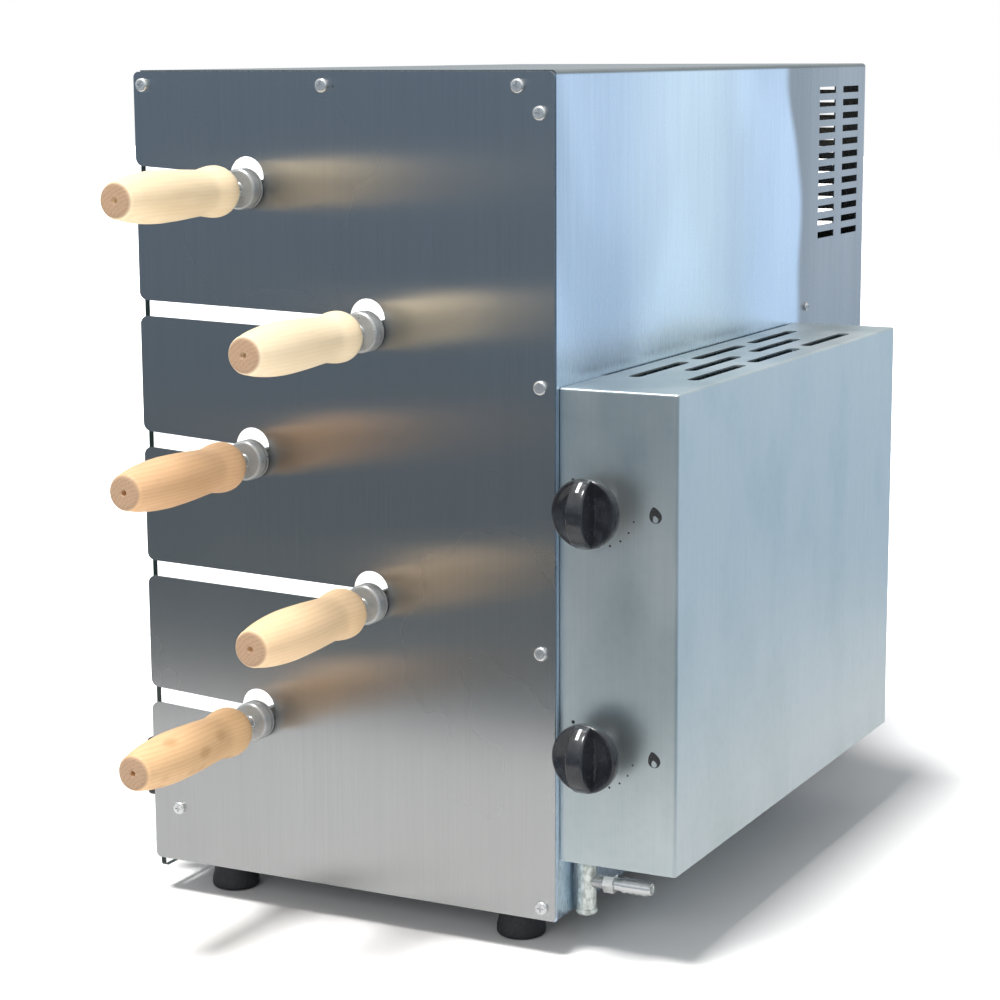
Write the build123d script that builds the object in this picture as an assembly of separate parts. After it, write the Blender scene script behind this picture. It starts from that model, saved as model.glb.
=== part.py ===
from build123d import *
import math
import os

# Table-top vertical rotisserie grill, gas fired, with five stacked skewers.
# Built in casing coordinates: x from the open left side, y from the front panel,
# z from the casing floor.  The finished pieces are moved so that the origin lies
# on the worktop, below the middle of the whole machine's box.  Millimetres, +Z up,
# front on -Y.

# ---- driving dimensions -------------------------------------------------------
CASE_W = 320.0          # casing width, without the control box
CASE_D = 600.0          # casing depth, front panel to rear panel
CASE_H = 560.0          # casing height, without the feet
SHEET = 1.2             # stainless sheet thickness
BEND_R = 3.0            # outside radius of a folded sheet edge
FLANGE = 18.0           # width of the folded-in front and rear flanges
DOOR_REBATE = 5.0       # the wrap stops this far short of the left side

GEAR_TEETH = 52
MODULE = 2.5
GEAR_PITCH = GEAR_TEETH * MODULE          # pitch diameter = skewer spacing
ROW_STEP = 92.0                           # height between neighbouring skewers
COLUMN_STEP = math.sqrt(GEAR_PITCH**2 - ROW_STEP**2)
SKEWER_X = 89.5                           # left column
SKEWER_TOP_Z = 481.5                      # top skewer
SKEWER_COUNT = 5

KEYHOLE_R = 13.4        # round end of a panel slot
KEYHOLE_RISE = 8.0      # its centre above the skewer axis
SLOT_H = 11.0           # slot height
SLOT_DROP = 5.0         # how far a slot falls from the panel edge to its hole
MOUTH_R = 6.0           # rounding of the slot's two corners at the panel edge
NECK_R = 5.2            # skewer neck, which rides in the keyhole
COLLAR_R = 13.8

BULKHEAD_Y = 450.0      # front face of the wall between chamber and gear space
GEAR_Y = 468.0          # front face of the gears
GEAR_T = 12.0
SHANK_R = 10.0          # drive socket's shank
BUSH_R = 13.0           # bushing behind the bulkhead
BUSH_FLANGE_R = 17.0
RUN_CLEAR = 0.06        # radial clearance of a running fit

BOX_W = 83.0            # control box on the right side
BOX_Y0, BOX_Y1 = 5.4, 436.4
BOX_Z0, BOX_Z1 = 42.0, 358.7
KNOB_X = CASE_W + 28.2
KNOB_Z = (121.0, 282.0)
KNOB_R = 23.0
STEM_R = 4.0

PIPE_X, PIPE_Y, PIPE_R = 328.2, 30.0, 6.65
BARB_Z = 22.5

GLASS_T = 4.0
GLASS_Y0, GLASS_Y1 = 6.0, 441.0
GLASS_Z0, GLASS_Z1 = -8.0, 556.0
HINGE_X, HINGE_Y = -8.0, 446.0
HINGE_Z = (90.0, 470.0)

BURNER_Y0, BURNER_Y1 = 22.0, 432.0
BURNER_H = 204.0
BURNER_Z = (174.0, 398.0)   # centre heights of the two burners
BURNER_X0, BURNER_X1 = 274.0, 312.0
VENTURI_RISE = 48.0         # venturi axis above its valve
VENTURI_X = KNOB_X + 14.0
VENTURI_Y = 176.0

FOOT_H = 25.0
FOOT_INSET_X = 44.0
FOOT_INSET_Y = 36.0

MOTOR_ANGLE = 40.0      # where the pinion meets the second gear
PINION_TEETH = 14

DOOR_PULL_REACH = 26.0      # leftmost point, out from the glass
GRIP_END_Y = -152.0         # front end of the wooden grips
GLAND_REACH = 10.0          # rearmost point, out from the rear panel

MIDDLE_X = (CASE_W + BOX_W - DOOR_PULL_REACH) / 2
MIDDLE_Y = (CASE_D + GLAND_REACH + GRIP_END_Y) / 2
TO_FRAME = Location((-MIDDLE_X, -MIDDLE_Y, FOOT_H))


# ---- helpers ------------------------------------------------------------------
def block(x0, x1, y0, y1, z0, z1):
    """A box between two corners."""
    centre = ((x0 + x1) / 2, (y0 + y1) / 2, (z0 + z1) / 2)
    return Pos(*centre) * Box(x1 - x0, y1 - y0, z1 - z0)


def rod_x(y, z, radius, x0, x1):
    return Pos((x0 + x1) / 2, y, z) * Rot(0, 90, 0) * Cylinder(radius, x1 - x0)


def rod_y(x, z, radius, y0, y1):
    return Pos(x, (y0 + y1) / 2, z) * Rot(90, 0, 0) * Cylinder(radius, y1 - y0)


def rod_z(x, y, radius, z0, z1):
    return Pos(x, y, (z0 + z1) / 2) * Cylinder(radius, z1 - z0)


def plate_xz(width, height, radius, thickness):
    """A sheet with rounded corners in the XZ plane, from y = 0 backwards."""
    outline = RectangleRounded(width, height, radius)
    return extrude(Plane.XZ * outline, amount=-thickness)


def turned(profile_points, x, z):
    """A solid of revolution about a Y axis; points are (y, radius) pairs."""
    with BuildPart() as body:
        with BuildSketch(Plane.XY):
            with BuildLine():
                Polyline([(r, y) for y, r in profile_points], close=True)
            make_face()
        revolve(axis=Axis.Y)
    return Pos(x, 0, z) * body.part


def turned_z(profile_points, x, y):
    """A solid of revolution about a Z axis; points are (z, radius) pairs."""
    with BuildPart() as body:
        with BuildSketch(Plane.XZ):
            with BuildLine():
                Polyline([(r, z) for z, r in profile_points], close=True)
            make_face()
        revolve(axis=Axis.Z)
    return Pos(x, y, 0) * body.part


def tube_along(points, radii, outer, inner):
    """A tube of the given outer and inner radius on a path with rounded corners."""
    if len(points) == 2:
        path = Line(points[0], points[1])
    else:
        path = FilletPolyline(*points, radius=radii)
    start = Plane(path @ 0, z_dir=path % 0)
    solid = sweep(start * Circle(outer), path=path)
    if inner > 0:
        solid -= sweep(start * Circle(inner), path=path)
    return solid


def skewer_axis(number):
    """x and z of skewer 1 (top) to 5 (bottom); odd ones are in the left column."""
    x = SKEWER_X + (COLUMN_STEP if number % 2 == 0 else 0)
    return x, SKEWER_TOP_Z - ROW_STEP * (number - 1)


def pan_screw(head_r, shank_r, length):
    """Pan-head screw on +Y: the seat is at y = 0 and the head stands towards -Y."""
    head = Rot(90, 0, 0) * Cylinder(head_r, 2.4)
    head = Pos(0, -1.2, 0) * head
    head = fillet(head.edges().filter_by(GeomType.CIRCLE).group_by(Axis.Y)[0], 1.5)
    head += rod_y(0, 0, shank_r, 0, length)
    for width, height in ((1.1, 4.6), (4.6, 1.1)):
        head -= Pos(0, -2.4, 0) * Box(width, 2.6, height)
    return head


def group(solids):
    """Separate solids that share one node."""
    return Compound(children=[solid for solid in solids])


# ---- casing -------------------------------------------------------------------
VENT_ROWS = 12
VENT_STEP = 10.5
VENT_TOP_Z = 542.0
VENT_H = 5.2
VENT_L = 38.0
SIDE_VENT_Y = (488.0, 544.0)
REAR_VENT_X = (157.0, 207.0, 257.0)
REAR_VENT_SHIFT = 1.4
SCREW_HOLE_R = 2.1
FRONT_SCREWS = (
    (7.0, 550.0), (149.5, 550.0), (293.5, 550.0),
    (309.0, 533.0), (309.0, 358.5), (309.0, 183.0), (309.0, 9.0), (21.0, 39.5),
)
REAR_SCREWS = ((12, 550), (160, 550), (308, 550), (12, 10), (160, 10), (308, 10), (308, 280))
SIDE_SCREWS_Z = (60.0, 369.0)
SIDE_SCREW_Y = 462.0


def c_profile(inset, left):
    """Outline of the top, right side and floor, seen from the front."""
    x1 = CASE_W - inset
    z0, z1 = inset, CASE_H - inset
    area = Rectangle(x1 - left + 60, z1 - z0)
    area = Pos((left - 60 + x1) / 2, (z0 + z1) / 2) * area
    corners = area.vertices().group_by(Axis.X)[-1]
    return fillet(corners, BEND_R - inset)


def casing_wrap():
    skin = c_profile(0, DOOR_REBATE) - c_profile(SHEET, DOOR_REBATE)
    rim = c_profile(0, DOOR_REBATE) - (
        Pos((CASE_W - FLANGE) / 2 - 50, CASE_H / 2)
        * Rectangle(CASE_W - FLANGE + 100, CASE_H - 2 * FLANGE)
    )
    depth = CASE_D - 2 * SHEET
    wrap = extrude(Plane.XZ * skin, amount=-depth)
    wrap += extrude(Plane.XZ * rim, amount=-SHEET)
    wrap += Pos(0, depth - SHEET, 0) * extrude(Plane.XZ * rim, amount=-SHEET)
    wrap = Pos(0, SHEET, 0) * wrap
    wrap -= block(-100, DOOR_REBATE, -10, CASE_D + 10, -10, CASE_H + 10)
    front_tabs = block(2, 20, SHEET, 2 * SHEET, CASE_H - FLANGE, CASE_H - SHEET - 0.5)
    front_tabs += block(10, 32, SHEET, 2 * SHEET, SHEET, 50)
    wrap += front_tabs
    for x, z in FRONT_SCREWS:
        wrap -= rod_y(x, z, SCREW_HOLE_R, 0, 10)
    for x, z in REAR_SCREWS:
        wrap -= rod_y(x, z, SCREW_HOLE_R, CASE_D - 10, CASE_D + 2)
    for row in range(VENT_ROWS):
        z = VENT_TOP_Z - row * VENT_STEP
        for y in SIDE_VENT_Y:
            wrap -= block(CASE_W - 5, CASE_W + 5, y, y + VENT_L, z - VENT_H, z)
    for knob_z in KNOB_Z:
        wrap -= rod_x(VENTURI_Y, knob_z + VENTURI_RISE, 15, CASE_W - 5, CASE_W + 5)
    for z in SIDE_SCREWS_Z:
        wrap -= rod_x(SIDE_SCREW_Y, z, SCREW_HOLE_R, CASE_W - 5, CASE_W + 5)
    for x in (FOOT_INSET_X, CASE_W - FOOT_INSET_X):
        for y in (FOOT_INSET_Y, CASE_D - FOOT_INSET_Y):
            wrap -= rod_z(x, y, 3.2, -2, 5)
    return wrap


def keyhole(number):
    """Cutter for one slot: open at the panel's left edge, round at the skewer."""
    x, z = skewer_axis(number)
    hole_z = z + KEYHOLE_RISE
    inner_low, inner_high = hole_z - SLOT_DROP - SLOT_H / 2, hole_z - SLOT_DROP + SLOT_H / 2
    mouth_low, mouth_high = hole_z - SLOT_H / 2, hole_z + SLOT_H / 2
    bulge = MOUTH_R * (1 - math.sqrt(0.5))
    with BuildSketch(Plane.XZ) as cut:
        with BuildLine():
            Polyline(
                (0, mouth_high + MOUTH_R), (-20, mouth_high + MOUTH_R),
                (-20, mouth_low - MOUTH_R), (0, mouth_low - MOUTH_R),
            )
            ThreePointArc(
                (0, mouth_low - MOUTH_R), (bulge, mouth_low - bulge), (MOUTH_R, mouth_low))
            Polyline((MOUTH_R, mouth_low), (x, inner_low), (x, inner_high), (MOUTH_R, mouth_high))
            ThreePointArc(
                (MOUTH_R, mouth_high), (bulge, mouth_high + bulge), (0, mouth_high + MOUTH_R))
        make_face()
    cutter = extrude(cut.sketch, amount=-20, both=True)
    return cutter + rod_y(x, hole_z, KEYHOLE_R, -20, 20)


def front_panel():
    right, top, bottom = CASE_W - 1.0, CASE_H - 1.0, 0.5
    panel = plate_xz(right, top - bottom, 4.0, SHEET)
    panel = Pos(right / 2, 0, (top + bottom) / 2) * panel
    for number in range(1, SKEWER_COUNT + 1):
        panel -= keyhole(number)
    for x, z in FRONT_SCREWS:
        panel -= rod_y(x, z, SCREW_HOLE_R, -5, 5)
    panel -= rod_y(158.0, 549.3, 0.8, -5, 5)
    return panel


SWITCH_X, SWITCH_Z = 60.0, 120.0
SWITCH_W, SWITCH_H = 21.0, 27.0
GLAND_X, GLAND_Z = 60.0, 60.0


def rear_panel():
    panel = plate_xz(CASE_W - 2.4, CASE_H - 1.0, 3.0, SHEET)
    panel = Pos(CASE_W / 2 + 0.2, CASE_D - SHEET, CASE_H / 2) * panel
    for x0 in REAR_VENT_X:
        for row in range(VENT_ROWS):
            z = VENT_TOP_Z + REAR_VENT_SHIFT - row * VENT_STEP
            panel -= block(x0, x0 + VENT_L, CASE_D - 5, CASE_D + 5, z - VENT_H, z)
    for x, z in REAR_SCREWS:
        panel -= rod_y(x, z, SCREW_HOLE_R, CASE_D - 5, CASE_D + 5)
    panel -= block(
        SWITCH_X - SWITCH_W / 2 - 0.2, SWITCH_X + SWITCH_W / 2 + 0.2, CASE_D - 5, CASE_D + 5,
        SWITCH_Z - SWITCH_H / 2 - 0.2, SWITCH_Z + SWITCH_H / 2 + 0.2,
    )
    panel -= rod_y(GLAND_X, GLAND_Z, 8.1, CASE_D - 5, CASE_D + 5)
    return panel


def bulkhead():
    x0, x1 = 2.0, CASE_W - SHEET - 0.2
    z0, z1 = SHEET + 0.2, CASE_H - SHEET - 0.2
    wall = plate_xz(x1 - x0, z1 - z0, BEND_R, SHEET)
    wall = Pos((x0 + x1) / 2, BULKHEAD_Y, (z0 + z1) / 2) * wall
    wall += block(x1 - SHEET, x1, BULKHEAD_Y, BULKHEAD_Y + FLANGE, z0 + 4, z1 - 4)
    wall += block(x0 + 20, x1 - 20, BULKHEAD_Y, BULKHEAD_Y + FLANGE, z0, z0 + SHEET)
    for number in range(1, SKEWER_COUNT + 1):
        x, z = skewer_axis(number)
        wall -= rod_y(x, z, BUSH_R + 0.1, BULKHEAD_Y - 5, BULKHEAD_Y + 5)
    for z in SIDE_SCREWS_Z:
        wall -= rod_x(SIDE_SCREW_Y, z, SCREW_HOLE_R, x1 - 5, x1 + 5)
    return wall


def gear_cover():
    y0, y1 = BULKHEAD_Y + SHEET + 0.2, CASE_D
    cover = block(0, SHEET, y0, y1, 0, CASE_H)
    inner_top = CASE_H - SHEET - 0.2
    cover += block(0, FLANGE, y0, y1 - SHEET - 2, inner_top - SHEET, inner_top)
    cover += block(0, FLANGE, y0, y1 - SHEET - 2, SHEET + 0.2, 2 * SHEET + 0.2)
    cover += block(0, FLANGE, y0, y0 + SHEET, SHEET + 0.2, inner_top)
    cover += block(
        0, FLANGE, y1 - 3 * SHEET, y1 - 2 * SHEET, SHEET + 0.2, inner_top)
    cover -= block(SHEET, FLANGE + 5, y1 - SHEET, y1 + 2, -2, CASE_H + 2)
    for x, z in REAR_SCREWS:
        if x < 20:
            cover -= rod_y(x, z, SCREW_HOLE_R, CASE_D - 10, CASE_D + 2)
    return cover


def panel_screws():
    return group([Pos(x, 0, z) * pan_screw(4.7, 2.0, 8) for x, z in FRONT_SCREWS])


def cover_screws():
    """Screws of the rear panel and the two that hold the bulkhead from the side."""
    rear = Rot(0, 0, 180) * pan_screw(4.2, 2.0, 8)
    side = Rot(0, 0, 90) * pan_screw(3.4, 2.0, 7)
    screws = [Pos(x, CASE_D, z) * rear for x, z in REAR_SCREWS]
    screws += [Pos(CASE_W, SIDE_SCREW_Y, z) * side for z in SIDE_SCREWS_Z]
    return group(screws)


def feet():
    profile = [(0, 0), (0, 14.5), (-9, 14.8), (-16, 16.6), (-22, 17), (-25, 14.6), (-25, 0)]
    solids = []
    for x in (FOOT_INSET_X, CASE_W - FOOT_INSET_X):
        for y in (FOOT_INSET_Y, CASE_D - FOOT_INSET_Y):
            foot = turned_z(profile, x, y)
            solids.append(foot - rod_z(x, y, 3.1, -12, 1))
    return group(solids)


def foot_screws():
    solids = []
    for x in (FOOT_INSET_X, CASE_W - FOOT_INSET_X):
        for y in (FOOT_INSET_Y, CASE_D - FOOT_INSET_Y):
            screw = rod_z(x, y, 3.0, -10, SHEET)
            solids.append(screw + rod_z(x, y, 6.0, SHEET, SHEET + 3))
    return group(solids)


def drip_tray():
    x0, x1, y0, y1 = 9.0, 268.0, 60.0, 436.0
    z0, z1 = SHEET + 4.5, 32.0
    tray = block(x0, x1, y0, y1, z0, z1)
    tray -= block(x0 + 1, x1 - 1, y0 + 1, y1 - 1, z0 + 1, z1 + 1)
    tray += block(x0 - 2, x0 + 1, y0 + 90, y1 - 90, z1 - 8, z1 + 6)
    tray += block(x0 - 2, x0 + 12, y0 + 90, y1 - 90, z1 + 5, z1 + 6)
    return tray


# ---- glass door ---------------------------------------------------------------
HANDLE_Y = 33.0
HANDLE_Z0, HANDLE_Z1 = 36.0, 79.0
HANDLE_POST_Z = (43.0, 72.0)


def door_glass():
    pane = block(0, GLASS_T, GLASS_Y0, GLASS_Y1, GLASS_Z0, GLASS_Z1)
    pane = fillet(pane.edges().filter_by(Axis.X), 3.0)
    for z in HANDLE_POST_Z:
        pane -= rod_x(HANDLE_Y, z, 3.0, -5, 10)
    return pane


def door_handle():
    x0 = -DOOR_PULL_REACH
    grip = block(x0, x0 + 9, HANDLE_Y - 6, HANDLE_Y + 6, HANDLE_Z0, HANDLE_Z1)
    grip = fillet(grip.edges(), 3.0)
    for z in HANDLE_POST_Z:
        grip += rod_x(HANDLE_Y, z, 5.5, x0 + 4, 0)
        grip -= rod_x(HANDLE_Y, z, SCREW_HOLE_R, -12, 1)
    return grip


def door_screws():
    solids = []
    for z in HANDLE_POST_Z:
        screw = rod_x(HANDLE_Y, z, 2.0, -10, GLASS_T + 1)
        solids.append(screw + rod_x(HANDLE_Y, z, 5.0, GLASS_T, GLASS_T + 2.5))
    return group(solids)


def hinge_clamps():
    solids = []
    for z in HINGE_Z:
        outer = block(-3, 0, GLASS_Y1 - 32, GLASS_Y1 - 5, z - 18, z + 18)
        inner = block(GLASS_T, GLASS_T + 2.5, GLASS_Y1 - 32, GLASS_Y1 + 2, z - 18, z + 18)
        web = block(-3, GLASS_T + 2.5, GLASS_Y1, GLASS_Y1 + 2, z + 0.5, z + 16)
        web += block(-3, 0, GLASS_Y1 - 6, GLASS_Y1 + 2, z + 0.5, z + 16)
        knuckle = rod_z(HINGE_X, HINGE_Y, 8, z + 0.5, z + 16)
        arm = block(HINGE_X, -0.5, GLASS_Y1 - 2, HINGE_Y, z + 0.5, z + 16)
        clamp = outer + inner + web + knuckle + arm
        clamp -= rod_z(HINGE_X, HINGE_Y, 4 + RUN_CLEAR, z - 20, z + 20)
        solids.append(clamp)
    return group(solids)


def hinge_brackets():
    solids = []
    for z in HINGE_Z:
        plate = block(-3, 0, HINGE_Y + 10, HINGE_Y + 38, z - 18, z + 18)
        ear = rod_z(HINGE_X, HINGE_Y, 8, z - 16, z - 0.5)
        arm = block(HINGE_X - 2, 0, HINGE_Y + 4, HINGE_Y + 12, z - 16, z - 0.5)
        pin = rod_z(HINGE_X, HINGE_Y, 4, z - 16, z + 18)
        solids.append(plate + ear + arm + pin)
    return group(solids)


# ---- skewers ------------------------------------------------------------------
COLLAR_Y0, COLLAR_Y1 = -12.5, -1.2
COLLAR_GROOVE_Y0, COLLAR_GROOVE_Y1 = -4.8, -2.6
COLLAR_GROOVE_R = COLLAR_R - 1.6
FERRULE_R = 4.6         # plain part between the collar and the wood
TANG_R = 3.0            # part inside the wood
HANDLE_START_Y = -29.0
BLADE_Y0, BLADE_Y1 = 16.0, 437.0
DRIVE_END_Y = 492.0
TANG_END_Y = -144.0


def skewer_bar(number):
    x, z = skewer_axis(number)
    bar = turned([
        (TANG_END_Y, 0), (TANG_END_Y, TANG_R), (HANDLE_START_Y - 2, TANG_R),
        (HANDLE_START_Y - 2, FERRULE_R), (COLLAR_Y0, FERRULE_R), (COLLAR_Y0, COLLAR_R - 1.4),
        (COLLAR_Y0 + 1.4, COLLAR_R), (COLLAR_GROOVE_Y0, COLLAR_R),
        (COLLAR_GROOVE_Y0, COLLAR_GROOVE_R), (COLLAR_GROOVE_Y1, COLLAR_GROOVE_R),
        (COLLAR_GROOVE_Y1, COLLAR_R), (COLLAR_Y1, COLLAR_R), (COLLAR_Y1, NECK_R),
        (BLADE_Y0, NECK_R), (BLADE_Y0 + 4, 0),
    ], x, z)
    bar += block(x - 1.6, x + 1.6, BLADE_Y0 - 6, BLADE_Y1, z - 5, z + 5)
    bar += block(x - 4, x + 4, BLADE_Y1 - 6, DRIVE_END_Y, z - 4, z + 4)
    return bar


GRIP_PROFILE = (        # distance from the collar end, radius
    (0, 10.0), (2.6, 14.8), (7.5, 16.7), (13.0, 17.0), (20.0, 16.2), (27.5, 15.1), (37.0, 15.4),
    (53.0, 16.3), (71.0, 16.9), (83.0, 16.9), (97.0, 16.0), (110.0, 14.3), (119.0, 12.2),
)
GRIP_FACE_R = 9.8


def skewer_handle(number):
    """Turned hardwood grip: a round head by the collar, a waist and a long swell."""
    x, z = skewer_axis(number)
    y0, y1 = HANDLE_START_Y, GRIP_END_Y
    outline = [(radius, y0 - along) for along, radius in GRIP_PROFILE]
    with BuildPart() as wood:
        with BuildSketch(Plane.XY):
            with BuildLine():
                Line((0, y0), outline[0])
                Spline(*outline)
                Polyline(outline[-1], (GRIP_FACE_R, y1), (0, y1), (0, y0))
            make_face()
        revolve(axis=Axis.Y)
    grip = Pos(x, 0, z) * wood.part
    grip -= rod_y(x, z, TANG_R + 0.1, TANG_END_Y - 1, y0 + 1)
    grip -= rod_y(x, z, FERRULE_R + 0.1, y0 - 2.2, y0 + 1)
    return grip - rod_y(x, z, 1.7, y1 - 1, TANG_END_Y)


# ---- drive --------------------------------------------------------------------
def spur_gear(teeth, thickness, bore_r):
    """Spur gear about Y with a tooth centred on +X, its front face at y = 0."""
    pitch_r = teeth * MODULE / 2
    root_r, tip_r = pitch_r - 1.25 * MODULE, pitch_r + 0.88 * MODULE
    step = 2 * math.pi / teeth
    points = []
    for tooth in range(teeth):
        middle = tooth * step
        for radius, share in ((root_r, -0.34), (tip_r, -0.11), (tip_r, 0.11), (root_r, 0.34)):
            angle = middle + share * step
            points.append((radius * math.cos(angle), radius * math.sin(angle)))
    outline = make_face(Polyline(*points, close=True))
    gear = extrude(Plane.XZ * outline, amount=-thickness)
    return gear - rod_y(0, 0, bore_r, -1, thickness + 1)


def gear_phases():
    """Turn of each gear, in degrees towards +Z, that leaves neighbours in mesh."""
    step = 360 / GEAR_TEETH
    phases = [0.0]
    for number in range(1, SKEWER_COUNT):
        x0, z0 = skewer_axis(number)
        x1, z1 = skewer_axis(number + 1)
        towards = math.degrees(math.atan2(z1 - z0, x1 - x0))
        into_tooth = (towards - phases[-1]) / step
        phases.append((towards + 180 - step * (0.5 - into_tooth)) % step)
    return phases


def drive_gear(number):
    x, z = skewer_axis(number)
    gear = spur_gear(GEAR_TEETH, GEAR_T, SHANK_R)
    gear += rod_y(0, 0, 19, -1.5, GEAR_T + 5) - rod_y(0, 0, SHANK_R, -5, GEAR_T + 9)
    for hole in range(6):
        angle = math.radians(60 * hole)
        gear -= rod_y(40 * math.cos(angle), 40 * math.sin(angle), 12, -5, GEAR_T + 9)
    turn = gear_phases()[number - 1]
    return Pos(x, GEAR_Y, z) * Rot(0, -turn, 0) * gear


def drive_socket(number):
    """Square-holed sleeve that carries the gear and turns the skewer."""
    x, z = skewer_axis(number)
    sleeve = rod_y(x, z, BUSH_FLANGE_R, BULKHEAD_Y - 11, BULKHEAD_Y - 6)
    sleeve += rod_y(x, z, SHANK_R, BULKHEAD_Y - 8, BULKHEAD_Y + 52)
    return sleeve - block(x - 4.4, x + 4.4, BULKHEAD_Y - 15, BULKHEAD_Y + 48, z - 4.4, z + 4.4)


def socket_bushings():
    solids = []
    for number in range(1, SKEWER_COUNT + 1):
        x, z = skewer_axis(number)
        bush = rod_y(x, z, BUSH_FLANGE_R, BULKHEAD_Y - 5, BULKHEAD_Y)
        bush += rod_y(x, z, BUSH_R, BULKHEAD_Y, BULKHEAD_Y + 15)
        solids.append(bush - rod_y(x, z, SHANK_R + RUN_CLEAR, BULKHEAD_Y - 9, BULKHEAD_Y + 20))
    return group(solids)


def pinion_axis():
    x, z = skewer_axis(2)
    reach = (GEAR_TEETH + PINION_TEETH) * MODULE / 2
    angle = math.radians(MOTOR_ANGLE)
    return x + reach * math.cos(angle), z + reach * math.sin(angle)


def motor_pinion():
    x, z = pinion_axis()
    step = 360 / PINION_TEETH
    gear_step = 360 / GEAR_TEETH
    into_tooth = (MOTOR_ANGLE - gear_phases()[1]) / gear_step
    turn = MOTOR_ANGLE + 180 - step * (0.5 - into_tooth)
    pinion = spur_gear(PINION_TEETH, GEAR_T + 4, 5)
    pinion = Pos(x, GEAR_Y - 2, z) * Rot(0, -turn, 0) * pinion
    return pinion + rod_y(x, z, 5.2, GEAR_Y - 6, GEAR_Y + 42)


MOTOR_HOLES = ((-24, -38), (24, -38), (-24, 38), (24, 38))
MOTOR_FACE_Y = GEAR_Y + 23
BRACKET_T = 2.0


def motor_bracket():
    x, z = pinion_axis()
    y0 = MOTOR_FACE_Y - BRACKET_T
    x0, x1 = x - 34, CASE_W - 6
    z0, z1 = z - 48, z + 62
    plate = block(x0, x1, y0, MOTOR_FACE_Y, z0, z1)
    plate += block(x1 - BRACKET_T, x1, BULKHEAD_Y + SHEET, MOTOR_FACE_Y, z0, z1)
    plate += block(x0, x1, BULKHEAD_Y + SHEET, MOTOR_FACE_Y, z1 - BRACKET_T, z1)
    for dx, dz in MOTOR_HOLES:
        plate -= rod_y(x + dx, z + dz, SCREW_HOLE_R, y0 - 1, MOTOR_FACE_Y + 1)
    return plate - rod_y(x, z, 12, y0 - 5, MOTOR_FACE_Y + 5)


def gearmotor():
    x, z = pinion_axis()
    y0 = MOTOR_FACE_Y
    case = block(x - 30, x + 30, y0, y0 + 40, z - 44, z + 44)
    case = fillet(case.edges().filter_by(Axis.Y), 6)
    case += rod_y(x, z - 10, 27, y0 + 40, y0 + 88)
    case += rod_y(x, z - 10, 10, y0 + 88, y0 + 94)
    case -= rod_y(x, z, 5.2 + RUN_CLEAR, y0 - 1, y0 + 24)
    for dx, dz in MOTOR_HOLES:
        case -= rod_y(x + dx, z + dz, SCREW_HOLE_R, y0 - 1, y0 + 12)
    return case


def motor_screws():
    x, z = pinion_axis()
    y0 = MOTOR_FACE_Y - BRACKET_T
    solids = []
    for dx, dz in MOTOR_HOLES:
        solids.append(Pos(x + dx, y0, z + dz) * pan_screw(4.2, 2.0, 12))
    return group(solids)


# ---- burners ------------------------------------------------------------------
TILE_L, TILE_H, TILE_T = 132.0, 92.0, 12.0
TILE_COLUMNS, TILE_ROWS = 3, 2
TILE_GAP = 2.0


def burner(index):
    """Pressed steel plenum, open to the food, with its bent mixing tube."""
    z = BURNER_Z[index]
    z0, z1 = z - BURNER_H / 2, z + BURNER_H / 2
    shell = block(BURNER_X0, BURNER_X1, BURNER_Y0, BURNER_Y1, z0, z1)
    shell -= block(BURNER_X0 - 1, BURNER_X1 - 1, BURNER_Y0 + 1, BURNER_Y1 - 1, z0 + 1, z1 - 1)
    tube_z = KNOB_Z[index] + VENTURI_RISE
    path = [
        (VENTURI_X, 92, tube_z), (VENTURI_X, VENTURI_Y, tube_z), (BURNER_X1 - 1, VENTURI_Y, tube_z),
    ]
    shell += tube_along(path, 26, 12, 0)
    shell += rod_y(VENTURI_X, tube_z, 17, 88, 93)
    shell -= tube_along(path, 26, 10.5, 0)
    shell -= rod_y(VENTURI_X, tube_z, 10.5, 80, 96)
    shell -= rod_x(VENTURI_Y, tube_z, 10.5, BURNER_X1 - 3, BURNER_X1 + 3)
    for y in (BURNER_Y0 + 20, BURNER_Y1 - 20):
        shell += rod_x(y, z, 5, BURNER_X1 - 0.5, CASE_W - SHEET)
    return shell


def burner_tiles(index):
    z = BURNER_Z[index]
    middle_y = (BURNER_Y0 + BURNER_Y1) / 2
    solids = []
    for column in range(TILE_COLUMNS):
        for row in range(TILE_ROWS):
            y = middle_y + (column - (TILE_COLUMNS - 1) / 2) * (TILE_L + TILE_GAP)
            tile_z = z + (row - (TILE_ROWS - 1) / 2) * (TILE_H + TILE_GAP)
            tile = Pos(BURNER_X0 + 1 + TILE_T / 2, y, tile_z) * Box(TILE_T, TILE_L, TILE_H)
            solids.append(tile)
    return group(solids)


def gas_injectors():
    solids = []
    for knob_z in KNOB_Z:
        z = knob_z + VENTURI_RISE
        jet = rod_y(VENTURI_X, z, 5.5, 74, 86)
        jet += rod_y(VENTURI_X, z, 3.5, 86, 92)
        solids.append(jet - rod_y(VENTURI_X, z, 1.0, 80, 100))
    return group(solids)


def gas_tubes():
    solids = []
    for knob_z in KNOB_Z:
        path = [
            (KNOB_X, 54, knob_z), (KNOB_X, 66, knob_z),
            (VENTURI_X, 60, knob_z + VENTURI_RISE), (VENTURI_X, 74, knob_z + VENTURI_RISE),
        ]
        solids.append(tube_along(path, 6, 3.0, 0))
    return group(solids)


# ---- control box --------------------------------------------------------------
LOUVRE_L, LOUVRE_W = 90.0, 9.0
LOUVRES = (
    [(341.0, y) for y in (119.0, 226.0, 333.0)]
    + [(362.0, y) for y in (164.0, 283.0)]
    + [(383.0, y) for y in (119.0, 226.0, 333.0)]
)
GAP_W, GAP_Y0, GAP_Y1 = 1.6, 73.0, 421.0     # relief of the box's top along the casing


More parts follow.
